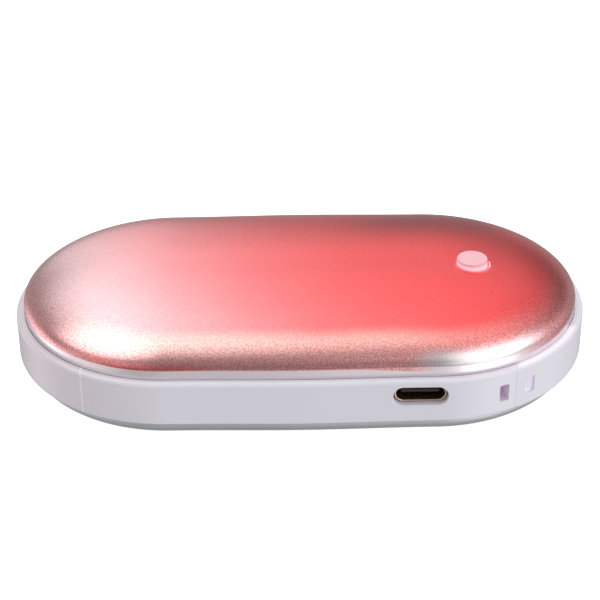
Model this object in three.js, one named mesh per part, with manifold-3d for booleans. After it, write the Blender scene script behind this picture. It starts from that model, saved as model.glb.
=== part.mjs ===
// A pocket hand warmer: two domed metal shells on a plastic band, with the battery, board,
// heaters and push button inside. Millimetres, +Z up, the origin on the ground under the centre.
import * as THREE from 'three';
import { mergeVertices } from 'three/addons/utils/BufferGeometryUtils.js';
import Module from 'manifold-3d';

const wasm = await Module();
wasm.setup();

// Driving sizes: the body is built round two cells, with room at each end, side and crown
const cellRadius = 9.2;
const cellLength = 65;
const cellGap = 0.3;
const leftEndRoom = 14;
const rightEndRoom = 24;
const sideRoom = 10.15;
const crownRoom = 2.8;
const sideBow = 0.4;
const bandHeight = 8.4;

// The band between the shells
const ledgeWidth = 1.4;
const bandEdgeRadius = 0.9;
const ribDepth = 3.2;
const ribHalfHeight = 3.1;

// The two shells
const shellWall = 0.8;
const shellClearance = 0.15;
const topFootRise = 1.8;
const bottomFootRise = 0.8;
const topRounding = 24;
const bottomRounding = 21;
const crownPower = 1.8;
const shellSeatGap = 0.1;

// Clearances that several pieces share
const seatGap = 0.3;
const slipGap = 0.2;
const cutOverrun = 1;

// The lanyard eyelet at the front right, as angles round the end of the body
const eyeletFirstAngle = 23.6;
const eyeletSecondAngle = 34.5;
const eyeletFirstWidth = 1.7;
const eyeletSecondWidth = 2;
const eyeletHeight = 3.2;
const eyeletBarDepth = 1.4;
const eyeletTunnelDepth = 2;
const eyeletBossMargin = 1.6;
const eyeletBossWall = 1.1;

// The charging socket in the front of the band
const portOffset = 7.5;
const portRise = 1.15;
const portOpeningWidth = 9.4;
const portOpeningHeight = 3.5;
const portRecess = 1;
const socketWidth = 8.94;
const socketHeight = 3.16;
const socketWall = 0.3;
const socketLength = 7.3;
const tongueWidth = 6.69;
const tongueThickness = 0.7;
const tongueSetback = 0.9;
const socketBlockLength = 1.6;
const contactThickness = 0.12;
const contactPitch = 0.5;
const contactWidth = 0.25;
const contactCount = 12;
const contactSetback = 0.4;

// The push button on the top shell
const buttonOffset = 3.5;
const buttonY = -1.2;
const buttonRadius = 2.75;
const buttonProud = 1;
const buttonEdgeRadius = 0.3;
const buttonHoleGap = 0.35;
const buttonFlangeRadius = 3.5;
const buttonFlangeThickness = 0.8;
const buttonFlangeDrop = 2.05;
const buttonStemRadius = 1.3;
const guideWall = 0.6;
const guideHeight = 2.6;
const guideFloor = 0.6;
const guideDrop = 2.2;

// The tactile switch under the button
const switchSide = 5.2;
const switchHeight = 1.83;
const plungerRadius = 1.2;
const plungerRise = 3.6;
const plungerDepth = 0.8;
const plungerGap = 0.1;
const switchBoreDepth = 1.4;
const stemGap = 0.05;

// The two cells
const cellEdgeRadius = 0.9;
const cellNubRadius = 3.2;
const cellNubRise = 0.8;
const stripThickness = 0.3;
const stripHalfHeight = 2.8;
const stripWidth = 26;
const stripTabWidth = 4;
const stripTabRise = 2.6;
const stripGap = 0.1;

// The cradles that hold the cells
const cradleDrop = 4;
const upperCradleThickness = 2.1;
const cradleEndWall = 1.2;
const cradleEndRoom = 0.7;
const cradleLeftReach = 5;
const cradleSideWall = 3.45;
const flangeThickness = 1.3;
const postInset = 0.3;
const postHalfLength = 2.6;
const endPostHalfWidth = 4;
const endPostY = 8;
const sidePostX = 3;
const sidePostShift = 1.6;
const windowGap = 0.6;
const windowLength = 8;
const windowMargin = 1.2;

// Screws
const screwRadius = 0.8;
const screwHeadRadius = 1.4;
const screwHeadHeight = 0.9;
const screwBite = 3;
const boardScrewOffset = 12.5;
const boardScrewY = 14;

// The main board and what is soldered to it
const boardThickness = 1;
const boardOffset = 0.8;
const boardFrontReach = 11;
const boardCellGap = 0.65;
const chipThickness = 0.9;
const chargeChipSide = 4;
const boostChipLength = 5;
const boostChipWidth = 4;
const inductorSide = 5;
const inductorHeight = 3;
const capacitorLength = 3.2;
const capacitorWidth = 1.6;
const capacitorHeight = 1.4;
const ledLength = 1.6;
const ledWidth = 0.8;
const ledHeight = 0.7;
const leadSocketLength = 4;
const leadSocketWidth = 4;
const leadSocketHeight = 3;
const chipOffset = 10.5;
const chipSpacing = 14;
const inductorOffset = 16;
const capacitorOffset = 6.5;
const capacitorSpacing = 32;
const ledOffset = 4;
const ledSpacing = 4;
const leadSocketY = 8.8;

// The heaters and what lies under them
const heaterInset = 16;
const heaterOffset = 3;
const heaterThickness = 0.3;
const insulatorInset = 18;
const insulatorOffset = 7.5;
const insulatorThickness = 0.4;
const thermistorLength = 2;
const thermistorWidth = 1.2;
const thermistorHeight = 0.5;
const thermistorOffset = 2.1;
const thermistorY = -3;

// The leads
const heaterLeadRadius = 0.4;
const heaterLeadSpacing = 2;
const heaterLeadBend = 0.3;
const heaterLeadSlope = 2.1;
const heaterLeadReach = 3.3;
const heaterLeadShoulder = 0.9;
const heaterLeadKnee = 3.3;
const batteryLeadRadius = 0.5;
const batteryLeadBend = 2.5;
const batteryLeadSideReach = 2.2;
const batteryLeadSideY = 2;
const batteryLeadReach = 4.3;
const batteryLeadEndY = 4.7;
const batteryLeadShoulder = 1.4;
const batteryLeadKnee = 3.5;
const positiveLeadReach = 2.9;
const positiveLeadY = -8;

// Steps of the curves
const arcSteps = 30;
const sideSteps = 6;
const coarseArcSteps = 12;
const coarseSideSteps = 4;
const crownSteps = 7;
const sheetSteps = 3;
const cornerSteps = 3;
const roundSteps = 24;
const leadSides = 8;
const leadSteps = 14;
const weldDistance = 0.0001;

// Sizes and places worked out from the values above
const bodyLength = leftEndRoom + cellLength + rightEndRoom;
const halfLength = bodyLength / 2;
const cellY = cellRadius + cellGap / 2;
const packHalfWidth = cellY + cellRadius;
const halfWidth = packHalfWidth + sideRoom;
const endRadius = halfWidth - sideBow;
const endCentre = halfLength - endRadius;
const bandTop = bandHeight / 2;
const midHeight = cellRadius + crownRoom;
const crownRise = midHeight - bandTop;
const cellRight = halfLength - rightEndRoom;
const cellLeft = cellRight - cellLength;
const portX = cellRight - portOffset;
const buttonX = cellRight + buttonOffset;
const shellInset = ledgeWidth + shellClearance;
const topDome = { rounding: topRounding, footRise: topFootRise };
const bottomDome = { rounding: bottomRounding, footRise: bottomFootRise };
const skirtEnd = ribHalfHeight + shellSeatGap;
const boardTop = portRise - socketHeight / 2;
const boardBottom = boardTop - boardThickness;
const innerInset = ribDepth + seatGap;
const cradleTopFace = boardBottom - seatGap;
const cradleReach = cellRadius - cradleDrop;
const cradleRoomLeft = cellLeft - cradleEndRoom;
const cradleRoomRight = cellRight + cradleEndRoom;
const cradleHalfWidth = packHalfWidth + cradleSideWall;
const upperCradleBottom = cradleReach - upperCradleThickness;
const screwHoleRadius = screwRadius + seatGap;
const heaterDepth = shellWall + slipGap;
const heaterUnder = heaterDepth + heaterThickness;
const insulatorDepth = heaterUnder + slipGap;
const insulatorUnder = insulatorDepth + insulatorThickness;
const heaterEnd = cellRight - heaterOffset;

// Shapes and solids

// Makes a boolean solid from a closed geometry.
function toSolid(geometry) {
  const bare = geometry.clone();
  bare.deleteAttribute('normal');
  bare.deleteAttribute('uv');
  const merged = mergeVertices(bare, weldDistance);
  const vertProperties = new Float32Array(merged.attributes.position.array);
  const triVerts = new Uint32Array(merged.index.array);
  return new wasm.Manifold(new wasm.Mesh({ numProp: 3, vertProperties, triVerts }));
}

// Turns a boolean solid back into a geometry.
function toGeometry(solid) {
  const mesh = solid.getMesh();
  const geometry = new THREE.BufferGeometry();
  geometry.setAttribute('position', new THREE.BufferAttribute(mesh.vertProperties, 3));
  geometry.setIndex(new THREE.BufferAttribute(mesh.triVerts, 1));
  geometry.computeVertexNormals();
  return geometry;
}

// The distance from the long axis to the body's side at a place along it, drawn in by an inset.
function sideDistance(x, inset) {
  const wave = Math.cos((Math.PI * x) / (2 * endCentre));
  return endRadius - inset + sideBow * wave * wave;
}

// How far a place on the plan lies inside the body's outline.
function planInset(x, y) {
  const beyond = Math.max(Math.abs(x) - endCentre, 0);
  return endRadius - Math.hypot(beyond, y);
}

// The body's plan drawn in by an inset, anticlockwise from the left end of the front side.
function planOutline(inset, endSteps = arcSteps, straightSteps = sideSteps) {
  const radius = endRadius - inset;
  const points = [];
  for (const side of [1, -1]) {
    for (let step = 0; step < straightSteps; step += 1) {
      const x = endCentre * ((2 * step) / straightSteps - 1);
      points.push(new THREE.Vector2(side * x, -side * sideDistance(x, inset)));
    }
    for (let step = 0; step < endSteps; step += 1) {
      const angle = Math.PI * (step / endSteps - 0.5);
      const x = endCentre + radius * Math.cos(angle);
      points.push(new THREE.Vector2(side * x, side * radius * Math.sin(angle)));
    }
  }
  return points;
}

// Joins rings of points into one closed geometry, with flat ends unless the rings close on themselves.
function joinRings(rings, closed) {
  const count = rings[0].length;
  const positions = rings.flat().flatMap((point) => [point.x, point.y, point.z]);
  const index = [];
  const last = closed ? rings.length : rings.length - 1;
  for (let ring = 0; ring < last; ring += 1) {
    const here = ring * count;
    const there = ((ring + 1) % rings.length) * count;
    for (let point = 0; point < count; point += 1) {
      const next = (point + 1) % count;
      index.push(here + point, here + next, there + next);
      index.push(here + point, there + next, there + point);
    }
  }
  if (!closed) {
    const end = (rings.length - 1) * count;
    for (let point = 1; point < count - 1; point += 1) {
      index.push(0, point + 1, point);
      index.push(end, end + point, end + point + 1);
    }
  }
  const geometry = new THREE.BufferGeometry();
  geometry.setAttribute('position', new THREE.Float32BufferAttribute(positions, 3));
  geometry.setIndex(index);
  geometry.computeVertexNormals();
  return geometry;
}

// Sweeps a profile of insets and heights round the body's plan. Heights count from the band's middle.
function sweepRound(profile, closed = false, endSteps = arcSteps, straightSteps = sideSteps) {
  const rings = profile.map(({ inset, height }) => planOutline(inset, endSteps, straightSteps)
    .map((point) => new THREE.Vector3(point.x, point.y, midHeight + height)));
  return joinRings(rings, closed);
}

// The same profile below the band: upside down, and run backwards so that its faces stay outward.
function upsideDown(profile) {
  return profile.map(({ inset, height }) => ({ inset, height: -height })).reverse();
}

function box(x0, x1, y0, y1, z0, z1) {
  const geometry = new THREE.BoxGeometry(x1 - x0, y1 - y0, z1 - z0);
  geometry.translate((x0 + x1) / 2, (y0 + y1) / 2, midHeight + (z0 + z1) / 2);
  return geometry;
}

// A box that stands on a height, centred on a place.
function block(x, y, z, length, width, height) {
  return box(x - length / 2, x + length / 2, y - width / 2, y + width / 2, z, z + height);
}

function uprightRod(x, y, z0, z1, radius, sides = roundSteps) {
  const geometry = new THREE.CylinderGeometry(radius, radius, z1 - z0, sides);
  geometry.rotateX(Math.PI / 2);
  geometry.translate(x, y, midHeight + (z0 + z1) / 2);
  return geometry;
}

// A lathe turned about an upright axis from pairs of radius and height.
function uprightTurning(x, y, profile) {
  const points = profile.map(([radius, height]) => new THREE.Vector2(radius, height));
  const geometry = new THREE.LatheGeometry(points, roundSteps);
  geometry.rotateX(Math.PI / 2);
  geometry.translate(x, y, midHeight);
  return geometry;
}

// The body's plan drawn in by an inset, as an upright plate.
function planPlate(inset, z0, z1) {
  const shape = new THREE.Shape(planOutline(inset));
  const geometry = new THREE.ExtrudeGeometry(shape, { depth: z1 - z0, bevelEnabled: false });
  geometry.translate(0, 0, midHeight + z0);
  return geometry;
}

// An oval bar along Y with round ends, centred on the charging socket.
function socketBar(width, height, y0, y1) {
  const radius = height / 2;
  const reach = width / 2 - radius;
  const shape = new THREE.Shape();
  shape.absarc(reach, 0, radius, -Math.PI / 2, Math.PI / 2);
  shape.absarc(-reach, 0, radius, Math.PI / 2, (3 * Math.PI) / 2);
  const settings = { depth: y1 - y0, bevelEnabled: false, curveSegments: roundSteps / 4 };
  const geometry = new THREE.ExtrudeGeometry(shape, settings);
  geometry.rotateX(Math.PI / 2);
  geometry.translate(portX, y1, midHeight + portRise);
  return geometry;
}

// A wedge of a ring round the right end's centre, between two angles counted from the front.
function endWedge(innerRadius, outerRadius, startAngle, endAngle, z0, z1) {
  const start = THREE.MathUtils.degToRad(startAngle) - Math.PI / 2;
  const end = THREE.MathUtils.degToRad(endAngle) - Math.PI / 2;
  const shape = new THREE.Shape();
  shape.absarc(endCentre, 0, outerRadius, start, end, false);
  shape.absarc(endCentre, 0, innerRadius, end, start, true);
  const settings = { depth: z1 - z0, bevelEnabled: false, curveSegments: cornerSteps };
  const geometry = new THREE.ExtrudeGeometry(shape, settings);
  geometry.translate(0, 0, midHeight + z0);
  return geometry;
}

// A round lead along hand-placed points.
function leadTube(radius, points) {
  const path = new THREE.CatmullRomCurve3(points.map(([x, y, z]) => new THREE.Vector3(x, y, midHeight + z)));
  const section = new THREE.Shape();
  section.absarc(0, 0, radius, 0, 2 * Math.PI);
  const settings = { steps: leadSteps, extrudePath: path, curveSegments: leadSides };
  return new THREE.ExtrudeGeometry(section, settings);
}

// The dome's height above the band at an inset from the body's outline.
function domeRise(inset, dome) {
  const share = 1 - Math.min(inset - shellInset, dome.rounding) / dome.rounding;
  const curve = (1 - share ** crownPower) ** (1 / crownPower);
  return dome.footRise + (crownRise - dome.footRise) * curve;
}

// The dome's section from its foot to its crown, moved in by a depth square to the surface.
function domeSection(dome, depth) {
  const section = [];
  for (let step = 0; step <= crownSteps; step += 1) {
    const angle = (step / crownSteps) * (Math.PI / 2);
    const along = dome.rounding * (1 - Math.cos(angle) ** (2 / crownPower));
    const across = (crownRise - dome.footRise) * Math.sin(angle) ** (2 / crownPower);
    section.push(new THREE.Vector2(shellInset + along, bandTop + dome.footRise + across));
  }
  return section.map((point, step) => {
    const before = section[Math.max(step - 1, 0)];
    const after = section[Math.min(step + 1, crownSteps)];
    const slope = after.clone().sub(before).normalize();
    if (step === 0) slope.set(0, 1);
    if (step === crownSteps) slope.set(1, 0);
    return { inset: point.x + slope.y * depth, height: point.y - slope.x * depth };
  });
}

// One shell: the outer dome, a skirt that drops inside the band's ledge, and the same dome inside.
function shellProfile(dome) {
  const outside = domeSection(dome, 0);
  const inside = domeSection(dome, shellWall).reverse();
  inside[0].inset = outside[crownSteps].inset;
  const innerFoot = { inset: shellInset + shellWall, height: skirtEnd };
  const outerFoot = { inset: shellInset, height: skirtEnd };
  return [...inside, innerFoot, outerFoot, ...outside];
}

// A thin sheet that follows the inside of a dome between two depths.
function domeSheet(firstInset, topDepth, underDepth, dome) {
  const lastInset = shellInset + Math.min(topRounding, bottomRounding);
  const top = [];
  const under = [];
  for (let step = 0; step <= sheetSteps; step += 1) {
    const inset = firstInset + (lastInset - firstInset) * (step / sheetSteps);
    const surface = bandTop + domeRise(inset, dome);
    top.push({ inset, height: surface - topDepth });
    under.push({ inset, height: surface - underDepth });
  }
  return [...under.reverse(), ...top];
}

// Finishes

function finish(color, roughness, metalness = 0) {
  return new THREE.MeshStandardMaterial({ color, roughness, metalness });
}

const anodised = finish(0xe0787c, 0.4, 0.9);
const whitePlastic = finish(0xd8d6dd, 0.25);
const blackPlastic = finish(0x26262a, 0.5);
const creamPlastic = finish(0xe6dcc8, 0.45);
const clearPink = finish(0xf3b9c2, 0.3);
const steel = finish(0xc4c2bf, 0.3, 1);
const nickel = finish(0xb9b7ae, 0.35, 1);
const gold = finish(0xd9a94a, 0.3, 1);
const cellWrap = finish(0x3f7fb0, 0.4);
const heaterFilm = finish(0xb5722c, 0.4);
const foam = finish(0xd9d6cf, 0.9);
const boardGreen = finish(0x1f5a3a, 0.5);
const ferrite = finish(0x3c3c40, 0.7);
const ceramic = finish(0xb89a72, 0.5);
const ledWhite = finish(0xf4f0d8, 0.3);
const redLead = finish(0xb3262a, 0.5);
const blackLead = finish(0x1c1c1e, 0.5);

const handWarmer = new THREE.Group();

// Adds one named piece, made from a geometry or a boolean solid.
function addPiece(name, shape, material) {
  const geometry = shape.isBufferGeometry ? shape : toGeometry(shape);
  const piece = new THREE.Mesh(geometry, material);
  piece.name = name;
  handWarmer.add(piece);
}

// The band

// The eyelet's two mouths and the tunnel that joins them behind the bar.
function eyeletHollow() {
  const low = -eyeletHeight / 2;
  const high = eyeletHeight / 2;
  const floorRadius = endRadius - eyeletBarDepth - eyeletTunnelDepth;
  const spread = (width) => THREE.MathUtils.radToDeg(width / endRadius) / 2;
  const mouth = (angle, width) => toSolid(endWedge(floorRadius, endRadius + cutOverrun,
    angle - spread(width), angle + spread(width), low, high));
  const tunnel = toSolid(endWedge(floorRadius, endRadius - eyeletBarDepth,
    eyeletFirstAngle, eyeletSecondAngle, low, high));
  return mouth(eyeletFirstAngle, eyeletFirstWidth)
    .add(mouth(eyeletSecondAngle, eyeletSecondWidth))
    .add(tunnel);
}

// The thick place inside the band that carries the eyelet, grown by a clearance.
function eyeletBoss(clearance) {
  const spread = THREE.MathUtils.radToDeg((eyeletBossMargin + clearance) / endRadius)
    + THREE.MathUtils.radToDeg(eyeletSecondWidth / endRadius) / 2;
  const depth = eyeletBarDepth + eyeletTunnelDepth + eyeletBossWall + clearance;
  const reach = ribHalfHeight - seatGap + clearance;
  return toSolid(endWedge(endRadius - depth, endRadius - ledgeWidth / 2,
    eyeletFirstAngle - spread, eyeletSecondAngle + spread, -reach, reach));
}

// Half of the band's section: the rounded top edge, the ledge, the shell's seat and the rib.
function bandHalfSection() {
  const half = [];
  for (let step = 0; step <= cornerSteps; step += 1) {
    const angle = (step / cornerSteps) * (Math.PI / 2);
    const inset = bandEdgeRadius * (1 - Math.cos(angle));
    half.push({ inset, height: bandTop - bandEdgeRadius * (1 - Math.sin(angle)) });
  }
  half.push({ inset: ledgeWidth, height: bandTop });
  half.push({ inset: ledgeWidth, height: ribHalfHeight });
  half.push({ inset: ribDepth, height: ribHalfHeight });
  return half;
}

function midBand() {
  const upper = bandHalfSection();
  const ring = toSolid(sweepRound([...upper, ...upsideDown(upper)], true));
  const front = -sideDistance(portX, 0);
  const opening = toSolid(socketBar(portOpeningWidth, portOpeningHeight,
    front - cutOverrun, front + ribDepth + cutOverrun));
  return ring.add(eyeletBoss(0)).subtract(eyeletHollow()).subtract(opening);
}

// The shells

function topShell() {
  const radius = buttonRadius + buttonHoleGap;
  const hole = uprightRod(buttonX, buttonY, 0, bandTop + crownRise + cutOverrun, radius);
  return toSolid(sweepRound(shellProfile(topDome))).subtract(toSolid(hole));
}

function bottomShell() {
  return sweepRound(upsideDown(shellProfile(bottomDome)));
}

// The button: a capped plunger with a flange that the shell holds in.
const buttonSurface = bandTop + domeRise(planInset(buttonX, buttonY), topDome);
const buttonTop = buttonSurface + buttonProud;
const flangeTop = buttonSurface - buttonFlangeDrop + shellWall / 2;
const flangeBottom = flangeTop - buttonFlangeThickness;
const switchTop = boardTop + switchHeight;
const plungerTop = switchTop + plungerRise;
const stemBottom = plungerTop + stemGap;
const guideTop = buttonSurface - guideDrop + shellWall / 2;
const guideBottom = guideTop - guideHeight;

function buttonCap() {
  return uprightTurning(buttonX, buttonY, [
    [0, stemBottom],
    [buttonStemRadius, stemBottom],
    [buttonStemRadius, flangeBottom],
    [buttonFlangeRadius, flangeBottom],
    [buttonFlangeRadius, flangeTop],
    [buttonRadius, flangeTop],
    [buttonRadius, buttonTop - buttonEdgeRadius],
    [buttonRadius - buttonEdgeRadius, buttonTop],
    [0, buttonTop],
  ]);
}

// The cup under the shell that the button's flange and stem slide in.
function buttonGuide() {
  const inner = buttonFlangeRadius + seatGap;
  const outer = inner + guideWall;
  const bore = buttonStemRadius + seatGap;
  const floorTop = guideBottom + guideFloor;
  return uprightTurning(buttonX, buttonY, [
    [bore, guideBottom],
    [outer, guideBottom],
    [outer, guideTop],
    [inner, guideTop],
    [inner, floorTop],
    [bore, floorTop],
    [bore, guideBottom],
  ]);
}

function switchBody() {
  const body = toSolid(block(buttonX, buttonY, boardTop, switchSide, switchSide, switchHeight));
  const boreBottom = switchTop - switchBoreDepth;
  const bore = uprightRod(buttonX, buttonY, boreBottom, switchTop + cutOverrun, plungerRadius + plungerGap);
  return body.subtract(toSolid(bore));
}

function switchPlunger() {
  return uprightRod(buttonX, buttonY, switchTop - plungerDepth, plungerTop, plungerRadius);
}

// The charging socket
const socketFront = -sideDistance(portX, 0) + portRecess;
const socketBack = socketFront + socketLength;

function socketShell() {
  const outside = toSolid(socketBar(socketWidth, socketHeight, socketFront, socketBack));
  const room = socketBar(socketWidth - 2 * socketWall, socketHeight - 2 * socketWall,
    socketFront - cutOverrun, socketBack + cutOverrun);
  return outside.subtract(toSolid(room));
}

// The plastic inside the socket: a block at the back that carries the tongue.
function socketTongue() {
  const width = socketWidth - 2 * (socketWall + slipGap);
  const height = socketHeight - 2 * (socketWall + slipGap);
  const back = toSolid(socketBar(width, height, socketBack - socketBlockLength, socketBack));
  const low = portRise - tongueThickness / 2;
  const high = portRise + tongueThickness / 2;
  const tongue = box(portX - tongueWidth / 2, portX + tongueWidth / 2,
    socketFront + tongueSetback, socketBack - socketBlockLength / 2, low, high);
  return back.add(toSolid(tongue));
}

// A comb of flat contacts on one face of the tongue.
function contactComb(side) {
  const tongueFace = side * (tongueThickness / 2);
  const outerFace = side * (tongueThickness / 2 + contactThickness);
  const low = portRise + Math.min(tongueFace, outerFace);
  const high = portRise + Math.max(tongueFace, outerFace);
  const tips = socketFront + tongueSetback + contactSetback;
  const root = socketBack - socketBlockLength - slipGap;
  const span = contactPitch * (contactCount - 1);
  const barEdge = span / 2 + contactWidth / 2;
  let comb = toSolid(box(portX - barEdge, portX + barEdge, root - contactWidth, root, low, high));
  for (let finger = 0; finger < contactCount; finger += 1) {
    const x = portX - span / 2 + contactPitch * finger;
    const strip = box(x - contactWidth / 2, x + contactWidth / 2, tips, root - contactWidth / 2, low, high);
    comb = comb.add(toSolid(strip));
  }
  return comb;
}

// The cells and their strips

// One cell along X, with its raised pole at the right.
function cell(y) {
  const bodyRight = cellRight - cellNubRise;
  const profile = [
    [0, cellLeft],
    [cellRadius - cellEdgeRadius, cellLeft],
    [cellRadius, cellLeft + cellEdgeRadius],
    [cellRadius, bodyRight - cellEdgeRadius],
    [cellRadius - cellEdgeRadius, bodyRight],
    [cellNubRadius, bodyRight],
    [cellNubRadius, cellRight],
    [0, cellRight],
  ];
  const points = profile.map(([radius, x]) => new THREE.Vector2(radius, x));
  const geometry = new THREE.LatheGeometry(points, roundSteps);
  geometry.rotateZ(-Math.PI / 2);
  geometry.translate(0, y, midHeight);
  return geometry;
}

function leftStrip() {
  const right = cellLeft - stripGap;
  const left = right - stripThickness;
  const bar = box(left, right, -stripWidth / 2, stripWidth / 2, -stripHalfHeight, stripHalfHeight);
  const tabTop = stripHalfHeight + stripTabRise;
  const tab = box(left, right, -stripTabWidth / 2, stripTabWidth / 2, 0, tabTop);
  return toSolid(bar).add(toSolid(tab));
}

function rightStrip() {
  const left = cellRight + stripGap;
  const right = left + stripThickness;
  return box(left, right, -stripWidth / 2, stripWidth / 2, -stripHalfHeight, stripHalfHeight);
}

// The room that the two cells and their strips take in a cradle.
function cellRoom(solid) {
  let carved = solid;
  for (const y of [-cellY, cellY]) {
    const rod = new THREE.CylinderGeometry(cellRadius + seatGap, cellRadius + seatGap,
      cradleRoomRight - cradleRoomLeft, roundSteps);
    rod.rotateZ(Math.PI / 2);
    rod.translate((cradleRoomLeft + cradleRoomRight) / 2, y, midHeight);
    carved = carved.subtract(toSolid(rod));
  }
  const halfRoom = stripWidth / 2 + seatGap;
  const roomHeight = stripHalfHeight + seatGap;
  for (const [left, right] of [[cradleRoomLeft, cellLeft], [cellRight, cradleRoomRight]]) {
    const room = box(left, right, -halfRoom, halfRoom, -roomHeight, roomHeight);
    carved = carved.subtract(toSolid(room));
  }
  const halfTab = stripTabWidth / 2 + seatGap;
  const tabRoom = box(cradleRoomLeft, cellLeft, -halfTab, halfTab, 0, cradleReach + cutOverrun);
  carved = carved.subtract(toSolid(tabRoom));
  return carved;
}

// The places of the screws that hold the two cradles together.
const cradleScrewX = cradleRoomLeft - cradleLeftReach / 2;
const sidePostY = cellY + cellRadius + seatGap + sidePostShift;
const cradleScrews = [
  [cradleScrewX, -endPostY],
  [cradleScrewX, endPostY],
  [sidePostX, -sidePostY],
  [sidePostX, sidePostY],
];

// A plain block round the cells between two heights, rounded to the body's plan.
function cradleBlock(z0, z1) {
  const plate = toSolid(planPlate(innerInset, z0, z1));
  const extent = box(cradleRoomLeft - cradleLeftReach, cradleRoomRight + cradleEndWall,
    -cradleHalfWidth, cradleHalfWidth, z0 - cutOverrun, z1 + cutOverrun);
  return plate.intersect(toSolid(extent));
}

function drillCradle(solid) {
  let drilled = solid;
  for (const [x, y] of cradleScrews) {
    const hole = uprightRod(x, y, -cradleReach - cutOverrun, cradleReach + cutOverrun, screwHoleRadius,
      roundSteps / 2);
    drilled = drilled.subtract(toSolid(hole));
  }
  return drilled;
}

// The upper cradle, which stays clear of the charging socket.
function upperCradle() {
  const socketRoom = socketBar(socketWidth + 2 * seatGap, socketHeight + 2 * seatGap,
    socketFront, socketBack + seatGap);
  const body = cellRoom(cradleBlock(upperCradleBottom, cradleReach));
  return drillCradle(body).subtract(toSolid(socketRoom));
}

// The posts on the lower cradle that reach up to the upper one.
function cradlePosts() {
  const top = upperCradleBottom - seatGap;
  const low = cradleTopFace - flangeThickness;
  const endPosts = [-1, 1].map((side) => box(
    cradleRoomLeft - cradleLeftReach + postInset, cradleRoomLeft,
    side * endPostY - endPostHalfWidth, side * endPostY + endPostHalfWidth, low, top,
  ));
  const sidePosts = [-1, 1].map((side) => {
    const near = cellY + cellRadius + seatGap;
    const ends = [side * near, side * cradleHalfWidth];
    return box(sidePostX - postHalfLength, sidePostX + postHalfLength,
      Math.min(...ends), Math.max(...ends), low, top);
  });
  return [...endPosts, ...sidePosts].map(toSolid);
}

function lowerCradle() {
  let body = cradleBlock(-cradleReach, cradleTopFace);
  body = body.add(toSolid(planPlate(innerInset, cradleTopFace - flangeThickness, cradleTopFace)));
  for (const post of cradlePosts()) {
    body = body.add(post);
  }
  const windowStart = cradleRoomRight + cradleEndWall + windowGap;
  const windowHalfWidth = leadSocketY + heaterLeadSpacing / 2 + heaterLeadRadius + windowMargin;
  const window = box(windowStart, windowStart + windowLength, -windowHalfWidth, windowHalfWidth,
    -cradleReach, 0);
  body = cellRoom(body).subtract(eyeletBoss(seatGap)).subtract(toSolid(window));
  return drillBoardHoles(drillCradle(body));
}

// The board
const boardScrewX = cellRight + boardScrewOffset;
const boardScrews = [
  [boardScrewX, -boardScrewY],
  [boardScrewX, boardScrewY],
];

function drillBoardHoles(solid) {
  let drilled = solid;
  for (const [x, y] of boardScrews) {
    const hole = uprightRod(x, y, -cradleReach, cutOverrun, screwHoleRadius, roundSteps / 2);
    drilled = drilled.subtract(toSolid(hole));
  }
  return drilled;
}

function mainBoard() {
  const plate = toSolid(planPlate(innerInset, boardBottom, boardTop));
  const low = boardBottom - cutOverrun;
  const high = boardTop + cutOverrun;
  const endStart = cellRight + boardOffset;
  const frontEdge = packHalfWidth + boardCellGap;
  const end = toSolid(box(endStart, halfLength, -halfWidth, halfWidth, low, high));
  const front = toSolid(box(portX - boardFrontReach, halfLength, -halfWidth, -frontEdge, low, high));
  return drillBoardHoles(plate.intersect(end.add(front)).subtract(eyeletBoss(seatGap)));
}

// A pan-head screw with its head just above a face and its shank going down into a second piece.
function screw(x, y, seat, length) {
  const under = seat + slipGap / 2;
  return uprightTurning(x, y, [
    [0, seat - length],
    [screwRadius, seat - length + screwRadius],
    [screwRadius, under],
    [screwHeadRadius, under],
    [screwHeadRadius, under + screwHeadHeight],
    [0, under + screwHeadHeight],
  ]);
}

// Leads

// One of a heater's two leads; side is 1 above the band and -1 below it.
function heaterLead(side, y, dome) {
  const surface = bandTop + domeRise(planInset(cellRight + heaterLeadBend, y), dome);
  const height = surface - shellWall - seatGap - heaterLeadRadius;
  const end = side > 0 ? boardTop + leadSocketHeight + seatGap : -(boardBottom - seatGap);
  return leadTube(heaterLeadRadius, [
    [heaterEnd + seatGap, y, side * height],
    [cellRight + heaterLeadBend, y, side * height],
    [cellRight + heaterLeadSlope, y, side * (height - heaterLeadShoulder)],
    [cellRight + heaterLeadReach, y, side * (height - heaterLeadKnee)],
    [cellRight + heaterLeadReach, y, side * end],
  ]);
}

// The lead from the left strip, along the valley between the cells and down to the board.
function negativeLead() {
  const height = cradleReach + seatGap + batteryLeadRadius;
  const end = cellRight + batteryLeadReach;
  return leadTube(batteryLeadRadius, [
    [cellLeft - stripThickness, 0, height],
    [0, 0, height],
    [cellRight - batteryLeadBend, 0, height],
    [cellRight + batteryLeadSideReach, batteryLeadSideY, height],
    [end, batteryLeadEndY, height - batteryLeadShoulder],
    [end, batteryLeadEndY, height - batteryLeadKnee],
    [end, batteryLeadEndY, boardTop + seatGap],
  ]);
}

function positiveLead() {
  const start = cellRight + stripGap + stripThickness + seatGap;
  const end = cellRight + positiveLeadReach;
  const height = (boardTop + upperCradleBottom) / 2;
  return leadTube(batteryLeadRadius, [
    [start, positiveLeadY, height],
    [(start + end) / 2, positiveLeadY, height],
    [end, positiveLeadY, boardTop + seatGap],
  ]);
}

// Putting the pieces together

function addBody() {
  addPiece('top_shell', topShell(), anodised);
  addPiece('bottom_shell', bottomShell(), anodised);
  addPiece('mid_band', midBand(), whitePlastic);
}

function addButton() {
  addPiece('button_cap', buttonCap(), clearPink);
  addPiece('button_guide', buttonGuide(), creamPlastic);
  addPiece('switch_body', switchBody(), blackPlastic);
  addPiece('switch_plunger', switchPlunger(), creamPlastic);
}

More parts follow.
